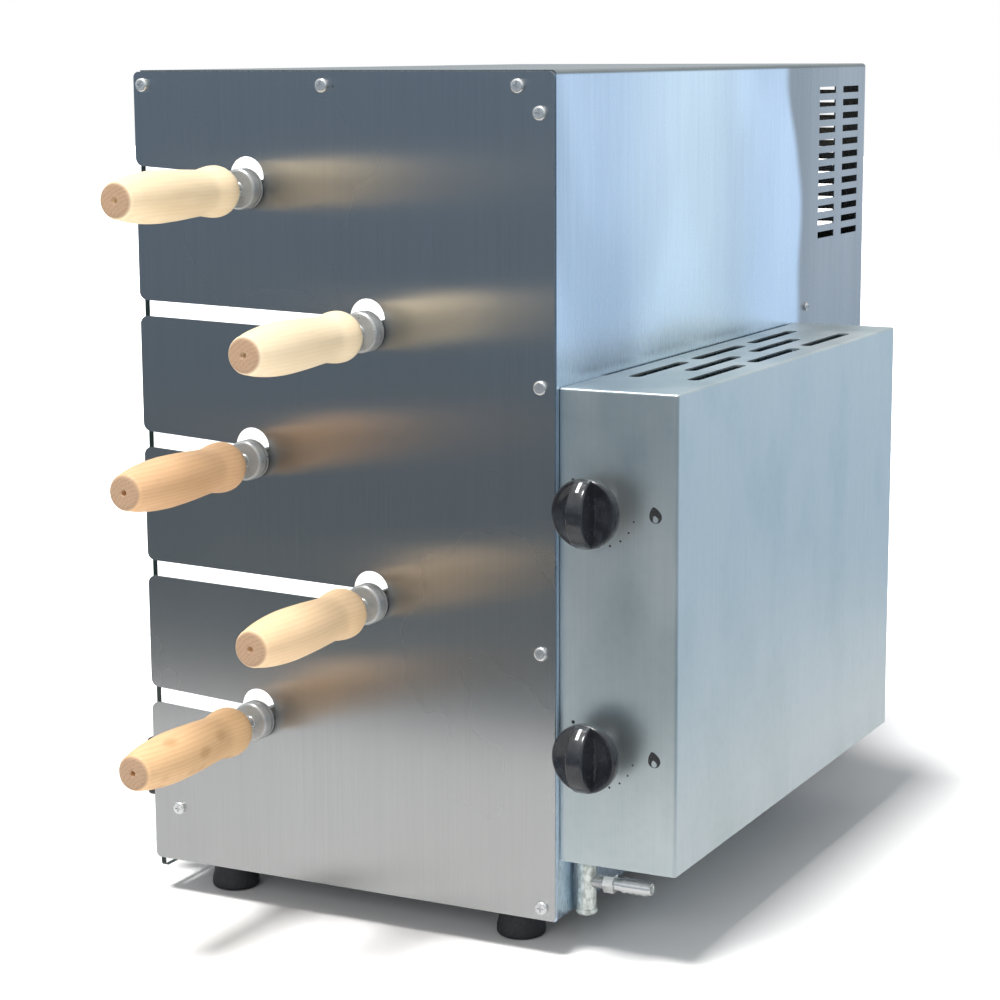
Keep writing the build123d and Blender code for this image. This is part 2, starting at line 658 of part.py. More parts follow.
def control_box():
    x0, x1 = CASE_W + 0.3, CASE_W + BOX_W
    outer = block(x0 - 20, x1, BOX_Y0, BOX_Y1, BOX_Z0 - 20, BOX_Z1)
    outer = fillet(outer.edges().filter_by(Axis.Z).group_by(Axis.X)[-1], 2.5)
    outer = fillet(outer.faces().sort_by(Axis.Z)[-1].edges(), 1.6)
    box = outer - block(
        x0 - 30, x1 - SHEET, BOX_Y0 + SHEET, BOX_Y1 - SHEET, BOX_Z0 - 30, BOX_Z1 - SHEET)
    box -= block(x0 - 40, x0, BOX_Y0 - 5, BOX_Y1 + 5, BOX_Z0 - 40, BOX_Z1 + 5)
    box -= block(x0 - 40, x1 + 5, BOX_Y0 - 5, BOX_Y1 + 5, BOX_Z0 - 40, BOX_Z0)
    box += block(x0, x0 + 12, BOX_Y1 - SHEET, BOX_Y1, BOX_Z0, BOX_Z1 - 2)
    box += block(x0 + 3, x1 - 3, BOX_Y0, BOX_Y0 + 10, BOX_Z0, BOX_Z0 + SHEET)
    for x, y in LOUVRES:
        slot = block(
            x - LOUVRE_W / 2, x + LOUVRE_W / 2, y - LOUVRE_L / 2, y + LOUVRE_L / 2,
            BOX_Z1 - 4, BOX_Z1 + 4,
        )
        box -= fillet(slot.edges().filter_by(Axis.Z), LOUVRE_W / 2 - 0.01)
    box -= block(x0 - 1, x0 + GAP_W, GAP_Y0, GAP_Y1, BOX_Z1 - 4, BOX_Z1 + 4)
    for z in KNOB_Z:
        box -= rod_y(KNOB_X, z, 6.5, BOX_Y0 - 5, BOX_Y0 + 5)
    return box


def box_cover():
    x0, x1 = CASE_W + 0.3, CASE_W + BOX_W - SHEET - 0.3
    y0, y1 = BOX_Y0 + 11, BOX_Y1 - SHEET - 0.3
    z0 = BOX_Z0 + 1.5
    cover = block(x0, x1, y0, y1, z0, z0 + SHEET)
    cover += block(x1 - SHEET, x1, y0, y1, z0, z0 + 12)
    cover += block(x0, x1, y1 - SHEET, y1, z0, z0 + 12)
    cover -= rod_z(PIPE_X, PIPE_Y, PIPE_R + 1.5, z0 - 5, z0 + 5)
    return cover


def gas_valve(index):
    z = KNOB_Z[index]
    body = block(KNOB_X - 11, KNOB_X + 11, 16, 50, z - 12, z + 12)
    body = fillet(body.edges().filter_by(Axis.Y), 3)
    body += rod_y(KNOB_X, z, 8, 10, 16)
    body += rod_y(KNOB_X, z, 6, 50, 54)
    body += rod_x(PIPE_Y, z, 5, PIPE_X, KNOB_X - 10)
    body -= rod_z(PIPE_X, PIPE_Y, PIPE_R, z - 20, z + 20)
    return body - rod_y(KNOB_X, z, STEM_R + RUN_CLEAR, 0, 32)


STEM_Y0, STEM_Y1 = -16.0, 31.0


def valve_stem(index):
    return rod_y(KNOB_X, KNOB_Z[index], STEM_R, STEM_Y0, STEM_Y1)


KNOB_BACK_Y = -4.0
SKIRT_BACK_Y = -13.0
SKIRT_FRONT_Y = -19.0
RIDGE_FRONT_Y = -35.0
RIDGE_W = 13.0
RIDGE_ARCH_R = 24.0


def knob(index):
    """Round skirt with an arched finger ridge across it, pointer upwards at rest."""
    z = KNOB_Z[index]
    skirt = turned([
        (KNOB_BACK_Y, 0), (KNOB_BACK_Y, 9), (SKIRT_BACK_Y, 11), (SKIRT_BACK_Y, KNOB_R - 0.6),
        (SKIRT_BACK_Y - 0.6, KNOB_R), (SKIRT_FRONT_Y + 2, KNOB_R - 0.2),
        (SKIRT_FRONT_Y, KNOB_R - 2.2), (SKIRT_FRONT_Y, 0),
    ], KNOB_X, z)
    disc = rod_y(KNOB_X, z, KNOB_R - 0.8, RIDGE_FRONT_Y, SKIRT_FRONT_Y + 1)
    ridge = disc & block(
        KNOB_X - RIDGE_W / 2, KNOB_X + RIDGE_W / 2, RIDGE_FRONT_Y, SKIRT_FRONT_Y + 1,
        z - KNOB_R, z + KNOB_R)
    ridge &= rod_x(RIDGE_FRONT_Y + RIDGE_ARCH_R, z, RIDGE_ARCH_R, KNOB_X - 20, KNOB_X + 20)
    ridge = fillet(ridge.edges().group_by(Axis.Y)[0], 1.5)
    return skirt + ridge - rod_y(KNOB_X, z, STEM_R + 0.02, STEM_Y0, 0)


def gas_manifold():
    pipe = rod_z(PIPE_X, PIPE_Y, PIPE_R, 3, KNOB_Z[1] + 26)
    pipe -= rod_z(PIPE_X, PIPE_Y, PIPE_R - 2, 2, KNOB_Z[1] + 22)
    return pipe


def manifold_plug():
    return turned_z([
        (9, 0), (9, PIPE_R - 2), (3, PIPE_R - 2), (3, PIPE_R + 0.6), (1, PIPE_R + 0.9),
        (-0.6, PIPE_R - 0.2), (-1.4, PIPE_R - 2.4), (-1.4, 0),
    ], PIPE_X, PIPE_Y)


BARB_END_X = 376.0


def hose_barb():
    start = PIPE_X + PIPE_R
    barb = rod_x(PIPE_Y, BARB_Z, 4.2, PIPE_X, start + 8)
    hexagon = extrude(Plane.YZ * RegularPolygon(6.8, 6), amount=8)
    barb += Pos(start + 7, PIPE_Y, BARB_Z) * hexagon
    barb += rod_x(PIPE_Y, BARB_Z, 4.6, start + 14, BARB_END_X)
    for rib in range(4):
        x = BARB_END_X - 4.5 - rib * 4.6
        cone = Pos(x, PIPE_Y, BARB_Z) * Rot(0, 90, 0) * Cone(5.6, 4.6, 4.0)
        barb += cone
    barb -= rod_z(PIPE_X, PIPE_Y, PIPE_R, 0, 50)
    return barb - rod_x(PIPE_Y, BARB_Z, 3.0, start + 4, BARB_END_X + 1)


# ---- rear fittings ------------------------------------------------------------
ROCKER_TILT = 9.0
ROCKER_Y = CASE_D - 4.0
ROCKER_HALF_W = 7.4
PIVOT_R = 1.3
PIVOT_HALF_L = 9.3


def power_switch():
    half_w, half_h = SWITCH_W / 2, SWITCH_H / 2
    body = block(
        SWITCH_X - half_w, SWITCH_X + half_w, CASE_D - 20, CASE_D,
        SWITCH_Z - half_h, SWITCH_Z + half_h)
    body += block(
        SWITCH_X - half_w - 2, SWITCH_X + half_w + 2, CASE_D, CASE_D + 2,
        SWITCH_Z - half_h - 2, SWITCH_Z + half_h + 2)
    body -= block(
        SWITCH_X - 8, SWITCH_X + 8, CASE_D - 10, CASE_D + 5, SWITCH_Z - 11.5, SWITCH_Z + 11.5)
    pivot_end = PIVOT_HALF_L + 0.4
    return body - rod_x(
        ROCKER_Y, SWITCH_Z, PIVOT_R + RUN_CLEAR, SWITCH_X - pivot_end, SWITCH_X + pivot_end)


def switch_rocker():
    """Two-faced rocker on its cross pin, resting in the off position."""
    with BuildPart() as rocker:
        with BuildSketch(Plane.YZ):
            with BuildLine():
                Polyline((-3, -8.5), (-3, 8.5), (4.2, 10), (2.6, 0), (4.2, -10), close=True)
            make_face()
        extrude(amount=ROCKER_HALF_W, both=True)
    rocking = Rot(ROCKER_TILT, 0, 0) * rocker.part
    rocking += rod_x(0, 0, PIVOT_R, -PIVOT_HALF_L, PIVOT_HALF_L)
    return Pos(SWITCH_X, ROCKER_Y, SWITCH_Z) * rocking


def cord_gland():
    gland = rod_y(GLAND_X, GLAND_Z, 8.0, CASE_D - 10, CASE_D + 1)
    gland += rod_y(GLAND_X, GLAND_Z, 11.0, CASE_D, CASE_D + 4)
    gland += rod_y(GLAND_X, GLAND_Z, 8.5, CASE_D + 4, CASE_D + GLAND_REACH)
    gland += rod_y(GLAND_X, GLAND_Z, 11.0, CASE_D - 6, CASE_D - SHEET)
    return gland - rod_y(GLAND_X, GLAND_Z, 3.6, CASE_D - 20, CASE_D + 20)


# ---- write one STEP per node --------------------------------------------------
NODES = {
    "casing_wrap": casing_wrap(),
    "front_panel": front_panel(),
    "rear_panel": rear_panel(),
    "bulkhead": bulkhead(),
    "gear_cover": gear_cover(),
    "panel_screws": panel_screws(),
    "cover_screws": cover_screws(),
    "rubber_feet": feet(),
    "foot_screws": foot_screws(),
    "drip_tray": drip_tray(),
    "door_glass": door_glass(),
    "door_handle": door_handle(),
    "door_screws": door_screws(),
    "hinge_clamps": hinge_clamps(),
    "hinge_brackets": hinge_brackets(),
    "socket_bushings": socket_bushings(),
    "motor_pinion": motor_pinion(),
    "motor_bracket": motor_bracket(),
    "gearmotor": gearmotor(),
    "motor_screws": motor_screws(),
    "gas_injectors": gas_injectors(),
    "gas_tubes": gas_tubes(),
    "control_box": control_box(),
    "box_cover": box_cover(),
    "gas_manifold": gas_manifold(),
    "manifold_plug": manifold_plug(),
    "hose_barb": hose_barb(),
    "power_switch": power_switch(),
    "switch_rocker": switch_rocker(),
    "cord_gland": cord_gland(),
}
for index, level in enumerate(("lower", "upper")):
    NODES["burner_" + level] = burner(index)
    NODES["burner_tiles_" + level] = burner_tiles(index)
    NODES["gas_valve_" + level] = gas_valve(index)
    NODES["valve_stem_" + level] = valve_stem(index)
    NODES["knob_" + level] = knob(index)
for number in range(1, SKEWER_COUNT + 1):
    NODES["skewer_bar_" + str(number)] = skewer_bar(number)
    NODES["skewer_handle_" + str(number)] = skewer_handle(number)
    NODES["drive_socket_" + str(number)] = drive_socket(number)
    NODES["drive_gear_" + str(number)] = drive_gear(number)

os.makedirs("parts", exist_ok=True)
for name, shape in NODES.items():
    export_step(TO_FRAME * shape, os.path.join("parts", name + ".step"))
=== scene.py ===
"""Looks of a table-top vertical rotisserie grill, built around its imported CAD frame."""
import math
import random

import bmesh
import bpy
from mathutils import Matrix, Vector


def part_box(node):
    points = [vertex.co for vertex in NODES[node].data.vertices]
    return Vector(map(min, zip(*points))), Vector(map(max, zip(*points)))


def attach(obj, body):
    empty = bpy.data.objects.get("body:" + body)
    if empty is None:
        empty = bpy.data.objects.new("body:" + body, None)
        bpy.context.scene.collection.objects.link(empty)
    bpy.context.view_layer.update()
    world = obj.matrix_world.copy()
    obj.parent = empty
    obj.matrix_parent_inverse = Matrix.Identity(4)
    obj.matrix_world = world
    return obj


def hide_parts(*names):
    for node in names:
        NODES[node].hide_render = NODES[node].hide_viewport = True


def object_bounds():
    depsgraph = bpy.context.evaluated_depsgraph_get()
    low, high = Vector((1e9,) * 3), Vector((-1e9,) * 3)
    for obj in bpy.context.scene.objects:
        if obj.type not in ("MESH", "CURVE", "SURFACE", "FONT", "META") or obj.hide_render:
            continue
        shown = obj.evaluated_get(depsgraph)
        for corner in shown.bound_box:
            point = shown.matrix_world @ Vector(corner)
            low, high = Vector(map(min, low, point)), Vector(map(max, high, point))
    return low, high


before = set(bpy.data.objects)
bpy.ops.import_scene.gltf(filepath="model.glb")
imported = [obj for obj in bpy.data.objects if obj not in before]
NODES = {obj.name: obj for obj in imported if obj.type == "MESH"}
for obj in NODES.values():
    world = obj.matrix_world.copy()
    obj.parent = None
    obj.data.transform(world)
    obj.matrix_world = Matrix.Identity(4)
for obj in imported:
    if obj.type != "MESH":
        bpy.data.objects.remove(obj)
CAD_BOX = [list(corner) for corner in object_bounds()]
MM = 0.001
SKEWERS = range(1, 6)
LEVELS = ("lower", "upper")
SHEET_T = 0.0012            # thickness of the folded casing sheet
MIX_A, MIX_B, MIX_RESULT = 6, 7, 2    # the Mix node's colour sockets, by position

# ---- camera -------------------------------------------------------------------
VIEW_AZIMUTH = math.radians(26.92)
VIEW_ELEVATION = math.radians(10.15)
VIEW_ROLL = math.radians(-0.29)
VIEW_DISTANCE = 1.8827
LENS_MM = 90.35
AIM = Vector((-0.0179, -0.0147, 0.2651))


def middle_axis(low, high):
    """The point at y = 0 on the axis of a piece that is turned about Y."""
    return Vector(((low.x + high.x) / 2, 0, (low.z + high.z) / 2))


def make_camera():
    """A camera that looks at AIM from the front right, a little from above."""
    back = Vector((
        math.sin(VIEW_AZIMUTH) * math.cos(VIEW_ELEVATION),
        -math.cos(VIEW_AZIMUTH) * math.cos(VIEW_ELEVATION),
        math.sin(VIEW_ELEVATION),
    ))
    level = Vector((0, 0, 1)).cross(back).normalized()
    rise = back.cross(level)
    right = level * math.cos(VIEW_ROLL) + rise * math.sin(VIEW_ROLL)
    up = back.cross(right)
    turn = Matrix((right, up, back)).transposed().to_4x4()
    camera = bpy.data.objects.new("camera", bpy.data.cameras.new("camera"))
    bpy.context.scene.collection.objects.link(camera)
    camera.data.lens = LENS_MM
    camera.matrix_world = Matrix.Translation(AIM + back * VIEW_DISTANCE) @ turn
    bpy.context.scene.camera = camera


# ---- material building --------------------------------------------------------
class Paint:
    """A Principled material, with short calls that add its procedural nodes."""

    def __init__(self, name, **sockets):
        self.material = bpy.data.materials.new(name)
        self.material.use_nodes = True
        self.tree = self.material.node_tree
        self.shader = self.tree.nodes["Principled BSDF"]
        self.put(**sockets)
        self.place = self.add("ShaderNodeTexCoord").outputs["Object"]

    def put(self, **sockets):
        """Sets or links sockets of the shader; underscores stand for spaces."""
        for key, value in sockets.items():
            self.feed(self.shader.inputs[key.replace("_", " ")], value)

    def feed(self, socket, value):
        if isinstance(value, bpy.types.NodeSocket):
            self.tree.links.new(value, socket)
        else:
            socket.default_value = value

    def add(self, kind, inputs=None, **settings):
        node = self.tree.nodes.new(kind)
        for key, value in settings.items():
            setattr(node, key, value)
        for key, value in (inputs or {}).items():
            self.feed(node.inputs[key], value)
        return node

    def vector(self, operation, a, b):
        return self.add("ShaderNodeVectorMath", {0: a, 1: b}, operation=operation).outputs[0]

    def length(self, vector):
        node = self.add("ShaderNodeVectorMath", {0: vector}, operation="LENGTH")
        return node.outputs["Value"]

    def math(self, operation, a, b=0.0):
        return self.add("ShaderNodeMath", {0: a, 1: b}, operation=operation).outputs[0]

    def axis(self, name, source=None):
        return self.add("ShaderNodeSeparateXYZ", {0: source or self.place}).outputs[name]

    def noise(self, per_metre, detail=4.0, rough=0.5, warp=0.0, offset=(0, 0, 0)):
        """Noise with its own number of features per metre along x, y and z."""
        spot = self.vector("MULTIPLY", self.vector("ADD", self.place, offset), per_metre)
        return self.add("ShaderNodeTexNoise", {
            "Vector": spot, "Scale": 1.0, "Detail": detail,
            "Roughness": rough, "Distortion": warp,
        }).outputs["Fac"]

    def spread(self, value, low, high, out_low=0.0, out_high=1.0):
        """Maps low..high smoothly onto out_low..out_high."""
        return self.add("ShaderNodeMapRange", {
            "Value": value, "From Min": low, "From Max": high,
            "To Min": out_low, "To Max": out_high,
        }, interpolation_type="SMOOTHSTEP").outputs[0]

    def mix(self, factor, a, b):
        node = self.add("ShaderNodeMix", data_type="RGBA")
        self.feed(node.inputs[0], factor)
        self.feed(node.inputs[MIX_A], rgba(a))
        self.feed(node.inputs[MIX_B], rgba(b))
        return node.outputs[MIX_RESULT]

    def bump(self, height, distance, strength=1.0, over=None):
        inputs = {"Height": height, "Distance": distance, "Strength": strength}
        if over is not None:
            inputs["Normal"] = over
        return self.add("ShaderNodeBump", inputs).outputs[0]


def rgba(colour):
    if isinstance(colour, bpy.types.NodeSocket):
        return colour
    return (*colour, 1.0)


def shade(colour, share):
    """The colour at a share of its brightness."""
    return [share * part for part in colour]


# ---- metals -------------------------------------------------------------------
def brushed_sheet():
    """Stainless sheet with a vertical grain, which smears reflections sideways."""
    p = Paint("brushed_sheet", Metallic=1.0, Anisotropic=0.94)
    grain = p.noise((1500, 1500, 7), detail=5, rough=0.65)
    cloud = p.noise((5, 5, 4), detail=3)
    fine = p.mix(p.spread(grain, 0.3, 0.7), (0.50, 0.51, 0.515), (0.545, 0.555, 0.56))
    p.put(Base_Color=p.mix(p.spread(cloud, 0.35, 0.65, 0.0, 0.35), fine, (0.51, 0.51, 0.51)))
    p.put(Roughness=p.spread(cloud, 0.3, 0.7, 0.23, 0.28))
    p.put(Normal=p.bump(grain, 0.00001, 0.15))
    p.put(Tangent=p.add("ShaderNodeTangent", direction_type="RADIAL", axis="Z").outputs[0])
    return p.material


def side_sheet():
    """Folded sheet, dished on its side, with painted reflections: bluish on its side, greyish at
    the rear, pale on top.
    """
    wall_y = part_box("bulkhead")[0].y
    wrap_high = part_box("casing_wrap")[1]
    p = Paint("side_sheet", Metallic=1.0)
    x, y, z = (p.axis(name) for name in "XYZ")
    wobble = p.math("MULTIPLY", p.math("SUBTRACT", p.noise((3, 3, 9), detail=2), 0.5), 0.05)
    corner = p.math("MULTIPLY", p.spread(z, wrap_high.z - 0.11, wrap_high.z), 0.035)
    edge = p.math("ADD", p.math("ADD", y, wobble), corner)
    # Mask of the front part of the side, where the bluish painted reflection goes; behind the
    # bulkhead the greyish one.
    blue_reflection_part = p.spread(edge, wall_y - 0.012, wall_y + 0.006, 1.0, 0.0)
    dish = p.noise((4.5, 4.5, 3.2), detail=2, rough=0.4, warp=0.6)
    soft = p.noise((11, 11, 1.6), detail=2, rough=0.5)
    scratches = p.noise((400, 400, 12), detail=4, rough=0.7)
    # Painted reflection: the bluish tint of a mirrored blue room, varied over the dish, is put
    # into the side's colour.
    blue = p.mix(p.spread(dish, 0.36, 0.62), (0.45, 0.56, 0.68), (0.64, 0.78, 0.94))
    blue = p.mix(p.spread(soft, 0.45, 0.7, 0.0, 0.35), blue, (0.60, 0.72, 0.84))
    # Painted reflection: a lighter band down the middle of the side.
    from_middle = p.math("ABSOLUTE", y)
    blue = p.mix(p.spread(from_middle, 0.02, 0.15, 0.55, 0.0), blue, (0.84, 0.97, 1.0))
    # Painted reflection: a darker, greyish tone for the rear strip of the side, standing for what
    # that part mirrors.
    grey_reflection = p.mix(p.spread(soft, 0.35, 0.7), (0.27, 0.30, 0.33), (0.37, 0.40, 0.43))
    on_side = p.spread(x, wrap_high.x - 0.003, wrap_high.x - SHEET_T)
    on_top = p.spread(z, wrap_high.z - 0.004, wrap_high.z - SHEET_T)
    # Painted reflection: the top gets its own pale tone in place of the reflection its face
    # catches.
    pale = p.mix(p.spread(soft, 0.35, 0.7), (0.30, 0.315, 0.32), (0.355, 0.37, 0.375))
    base = p.mix(p.math("MULTIPLY", blue_reflection_part, on_side), grey_reflection, blue)
    p.put(Base_Color=p.mix(on_top, base, pale))
    p.put(Roughness=p.spread(scratches, 0.25, 0.75, 0.24, 0.32))
    warp = p.bump(dish, 0.004, 0.6)
    p.put(Normal=p.bump(scratches, 0.00002, 0.1, over=warp))
    return p.material


def box_sheet():
    """Satin galvanised sheet of the control box, with a faint greenish mottling."""
    p = Paint("box_sheet", Metallic=1.0)
    mottle = p.noise((16, 16, 9), detail=3, rough=0.45)
    grain = p.noise((900, 900, 10), detail=3, rough=0.6)
    spangle = p.add("ShaderNodeTexVoronoi", {"Vector": p.place, "Scale": 140.0})
    crystal = p.spread(spangle.outputs["Distance"], 0.0, 0.7, 0.0, 0.12)
    tone = p.mix(p.spread(mottle, 0.35, 0.65), (0.56, 0.64, 0.66), (0.66, 0.72, 0.74))
    tone = p.mix(crystal, tone, (0.80, 0.84, 0.85))
    p.put(Base_Color=p.mix(p.spread(grain, 0.35, 0.7, 0.0, 0.25), tone, (0.55, 0.60, 0.61)))
    p.put(Roughness=p.spread(mottle, 0.3, 0.7, 0.36, 0.44))
    p.put(Normal=p.bump(mottle, 0.0015, 0.25))
    return p.material


def steel(name, low, high, roughness, metallic=1.0):
    """Plain metal with fine grain, tonal clouds and uneven roughness."""
    p = Paint(name, Metallic=metallic)
    grain = p.noise((300, 300, 300), detail=4, rough=0.6)
    cloud = p.noise((14, 14, 14), detail=3)
    tone = p.mix(p.spread(cloud, 0.3, 0.7), low, high)
    p.put(Base_Color=p.mix(p.spread(grain, 0.45, 0.8, 0.0, 0.3), tone, shade(low, 0.6)))
    p.put(Roughness=p.spread(grain, 0.2, 0.8, roughness * 0.75, roughness * 1.25))
    p.put(Normal=p.bump(grain, 0.00003, 0.5))
    return p.material


def heated_steel(name, base, roughness):
    """Steel that has been hot: straw and blue tints in soft bands, and soot."""
    p = Paint(name, Metallic=1.0)
    bands = p.noise((6, 6, 6), detail=3, warp=1.2)
    soot = p.noise((40, 40, 40), detail=5, rough=0.7)
    straw = p.mix(p.spread(bands, 0.42, 0.6), base, (0.52, 0.40, 0.24))
    tint = p.mix(p.spread(bands, 0.58, 0.72), straw, (0.30, 0.33, 0.44))
    p.put(Base_Color=p.mix(p.spread(soot, 0.55, 0.8, 0.0, 0.6), tint, (0.10, 0.09, 0.085)))
    p.put(Roughness=p.spread(soot, 0.3, 0.8, roughness, roughness + 0.25))
    p.put(Normal=p.bump(soot, 0.0001, 0.4))
    return p.material


def galvanised_pipe():
    """Zinc-coated pipe: pale, cloudy, with small dull blotches."""
    p = Paint("galvanised_pipe", Metallic=0.75)
    blotch = p.noise((320, 320, 200), detail=4, rough=0.65)
    tone = p.mix(p.spread(blotch, 0.35, 0.65), (0.50, 0.54, 0.50), (0.84, 0.88, 0.84))
    p.put(Base_Color=tone)
    p.put(Roughness=p.spread(blotch, 0.3, 0.7, 0.5, 0.32))
    p.put(Normal=p.bump(blotch, 0.0002, 0.5))
    return p.material


# ---- other materials ----------------------------------------------------------
def rubber():
    """Black moulded rubber, speckled and a little dusty."""
    p = Paint("rubber", Specular_IOR_Level=0.35)
    speck = p.noise((900, 900, 900), detail=4, rough=0.7)
    dust = p.noise((60, 60, 60), detail=4)
    dark = p.mix(p.spread(speck, 0.3, 0.7), (0.014, 0.015, 0.018), (0.030, 0.031, 0.036))
    p.put(Base_Color=p.mix(p.spread(dust, 0.55, 0.8, 0.0, 0.3), dark, (0.09, 0.09, 0.09)))
    p.put(Roughness=p.spread(dust, 0.3, 0.7, 0.5, 0.68))
    p.put(Normal=p.bump(speck, 0.0001, 0.4))
    return p.material


def glossy_black():
    """Moulded phenolic: deep black gloss with faint flow marks and hairline wear."""
    p = Paint("glossy_black", Coat_Weight=0.35, Coat_Roughness=0.08)
    flow = p.noise((90, 30, 90), detail=3, warp=0.8)
    hair = p.noise((1200, 200, 160), detail=5, rough=0.7)
    deep, lighter = (0.010, 0.011, 0.014), (0.020, 0.022, 0.027)
    p.put(Base_Color=p.mix(p.spread(flow, 0.35, 0.65), deep, lighter))
    p.put(Roughness=p.spread(hair, 0.3, 0.8, 0.16, 0.32))
    p.put(Normal=p.bump(hair, 0.00002, 0.3))
    return p.material


def clear_glass():
    """Toughened pane: see-through faces and dark green ground edges."""
    p = Paint("clear_glass", Roughness=0.03, IOR=1.5)
    normal = p.add("ShaderNodeNewGeometry").outputs["Normal"]
    across = p.math("ABSOLUTE", p.axis("X", normal))
    face = p.spread(across, 0.5, 0.8)
    smear = p.noise((9, 9, 9), detail=4, rough=0.6)
    p.put(Base_Color=p.mix(face, (0.012, 0.022, 0.020), (0.32, 0.38, 0.36)))
    see_through = p.spread(face, 0.0, 1.0, 1.0, 0.10)
    p.put(Alpha=p.math("ADD", see_through, p.spread(smear, 0.5, 0.8, 0.0, 0.05)))
    return p.material


FLAME_HOLES_PER_METRE = 400


def ceramic():
    """Burner plaque: pale honeycomb ceramic with a close grid of drilled flame holes, painted as
    dark spots of shade.
    """
    p = Paint("ceramic", Specular_IOR_Level=0.3)
    grid = (0, FLAME_HOLES_PER_METRE, FLAME_HOLES_PER_METRE)
    spot = p.vector("MULTIPLY", p.place, grid)
    holes = p.add("ShaderNodeTexVoronoi", {"Vector": spot, "Scale": 1.0, "Randomness": 0.0})
    rim = p.spread(holes.outputs["Distance"], 0.24, 0.32)
    scorch = p.noise((18, 18, 18), detail=4, rough=0.6)
    pale = p.mix(p.spread(scorch, 0.4, 0.7), (0.80, 0.73, 0.62), (0.55, 0.40, 0.27))
    # Painted shade: each flame hole is only a dark spot of colour with a bump, standing for the
    # shade inside it.
    p.put(Base_Color=p.mix(rim, (0.05, 0.035, 0.03), pale))
    p.put(Roughness=p.spread(scorch, 0.3, 0.7, 0.75, 0.92))
    p.put(Normal=p.bump(rim, 0.0006, 0.8))
    return p.material


def paint_coat(name, low, high, roughness):
    """Sprayed enamel with orange peel and slight wear."""
    p = Paint(name, Coat_Weight=0.2, Coat_Roughness=0.2)
    peel = p.noise((700, 700, 700), detail=3)
    cloud = p.noise((25, 25, 25), detail=4)
    p.put(Base_Color=p.mix(p.spread(cloud, 0.3, 0.7), low, high))
    p.put(Roughness=p.spread(cloud, 0.3, 0.7, roughness, roughness + 0.15))
    p.put(Normal=p.bump(peel, 0.0002, 0.3))
    return p.material


PITH_X, PITH_Z = 0.014, -0.019      # heart of the tree, beside and below the grip's axis
RING_RATE = 2400                    # growth rings, in radians per metre


def wood(name, centre, end_y, light, dark, knots, seed):
    """Turned hardwood: grain along the grip, end rings, pores and knots."""
    p = Paint(name, Specular_IOR_Level=0.3)
    shift = (seed * 1.37, seed * 0.71, seed * 2.13)
    wavy = p.noise((30, 4, 30), detail=3, offset=shift)
    off = p.vector("SUBTRACT", p.place, (centre.x + PITH_X, 0, centre.z + PITH_Z))
    reach = p.length(p.vector("MULTIPLY", off, (1, 0, 1)))
    phase = p.math("ADD", p.math("MULTIPLY", reach, RING_RATE), p.math("MULTIPLY", wavy, 16.0))
    rings = p.math("SINE", phase)
    fibre = p.noise((900, 14, 900), detail=4, rough=0.65, offset=shift)
    blush = p.noise((45, 9, 45), detail=3, offset=shift)
    tone = p.mix(p.spread(rings, -1.0, 1.0, 0.0, 0.26), light, dark)
    tone = p.mix(p.spread(blush, 0.4, 0.75, 0.0, 0.4), tone, dark)
    tone = p.mix(p.spread(fibre, 0.56, 0.74, 0.0, 0.22), tone, shade(dark, 0.7))
    if knots:
        cells = p.vector("MULTIPLY", p.vector("ADD", p.place, shift), (60, 34, 60))
        eye = p.add("ShaderNodeTexVoronoi", {"Vector": cells, "Scale": 1.0})
        ring = p.spread(eye.outputs["Distance"], 0.10, 0.34, knots, 0.0)
        tone = p.mix(ring, tone, (0.42, 0.21, 0.09))
    pores = p.noise((1100, 1100, 1100), detail=3, rough=0.7, offset=shift)
    end_grain, pore_brown = (0.36, 0.235, 0.150), (0.22, 0.135, 0.082)
    cut = p.mix(p.spread(pores, 0.4, 0.7, 0.0, 0.7), end_grain, pore_brown)
    cut = p.mix(p.spread(rings, -1.0, 1.0, 0.0, 0.22), cut, (0.50, 0.35, 0.23))
    ragged_y = p.math("ADD", p.axis("Y"), p.math("MULTIPLY", pores, 0.0012))
    ending = p.spread(ragged_y, end_y + 0.0006, end_y + 0.0030, 1.0, 0.0)
    p.put(Base_Color=p.mix(ending, tone, cut))
    p.put(Roughness=p.spread(fibre, 0.3, 0.7, 0.42, 0.6))
    p.put(Normal=p.bump(fibre, 0.00012, 0.45))
    return p.material


def ink(name, colour):
    """Screen-printed ink with a slightly worn surface."""
    p = Paint(name)
    wear = p.noise((500, 500, 500), detail=4, rough=0.7)
    worn = [0.5 + 0.3 * part for part in colour]
    p.put(Base_Color=p.mix(p.spread(wear, 0.55, 0.85, 0.0, 0.4), colour, worn))
    p.put(Roughness=p.spread(wear, 0.3, 0.7, 0.4, 0.6))
    p.put(Normal=p.bump(wear, 0.00003, 0.3))
    return p.material


# ---- mesh building ------------------------------------------------------------
def piece(name, verts, faces, material, body, sharp=35):
    """A new object that rides on a body, smooth but for edges over the sharp angle."""
    mesh = bpy.data.meshes.new(name)
    mesh.from_pydata([tuple(v) for v in verts], [], faces)
    bm = bmesh.new()
    bm.from_mesh(mesh)
    bmesh.ops.remove_doubles(bm, verts=bm.verts, dist=1e-6)
    bmesh.ops.recalc_face_normals(bm, faces=bm.faces)
    bm.to_mesh(mesh)
    bm.free()
    mesh.polygons.foreach_set("use_smooth", [True] * len(mesh.polygons))
    mesh.set_sharp_from_angle(angle=math.radians(sharp))
    mesh.materials.append(material)
    made = bpy.data.objects.new(name, mesh)
    bpy.context.scene.collection.objects.link(made)
    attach(made, body)
    return made


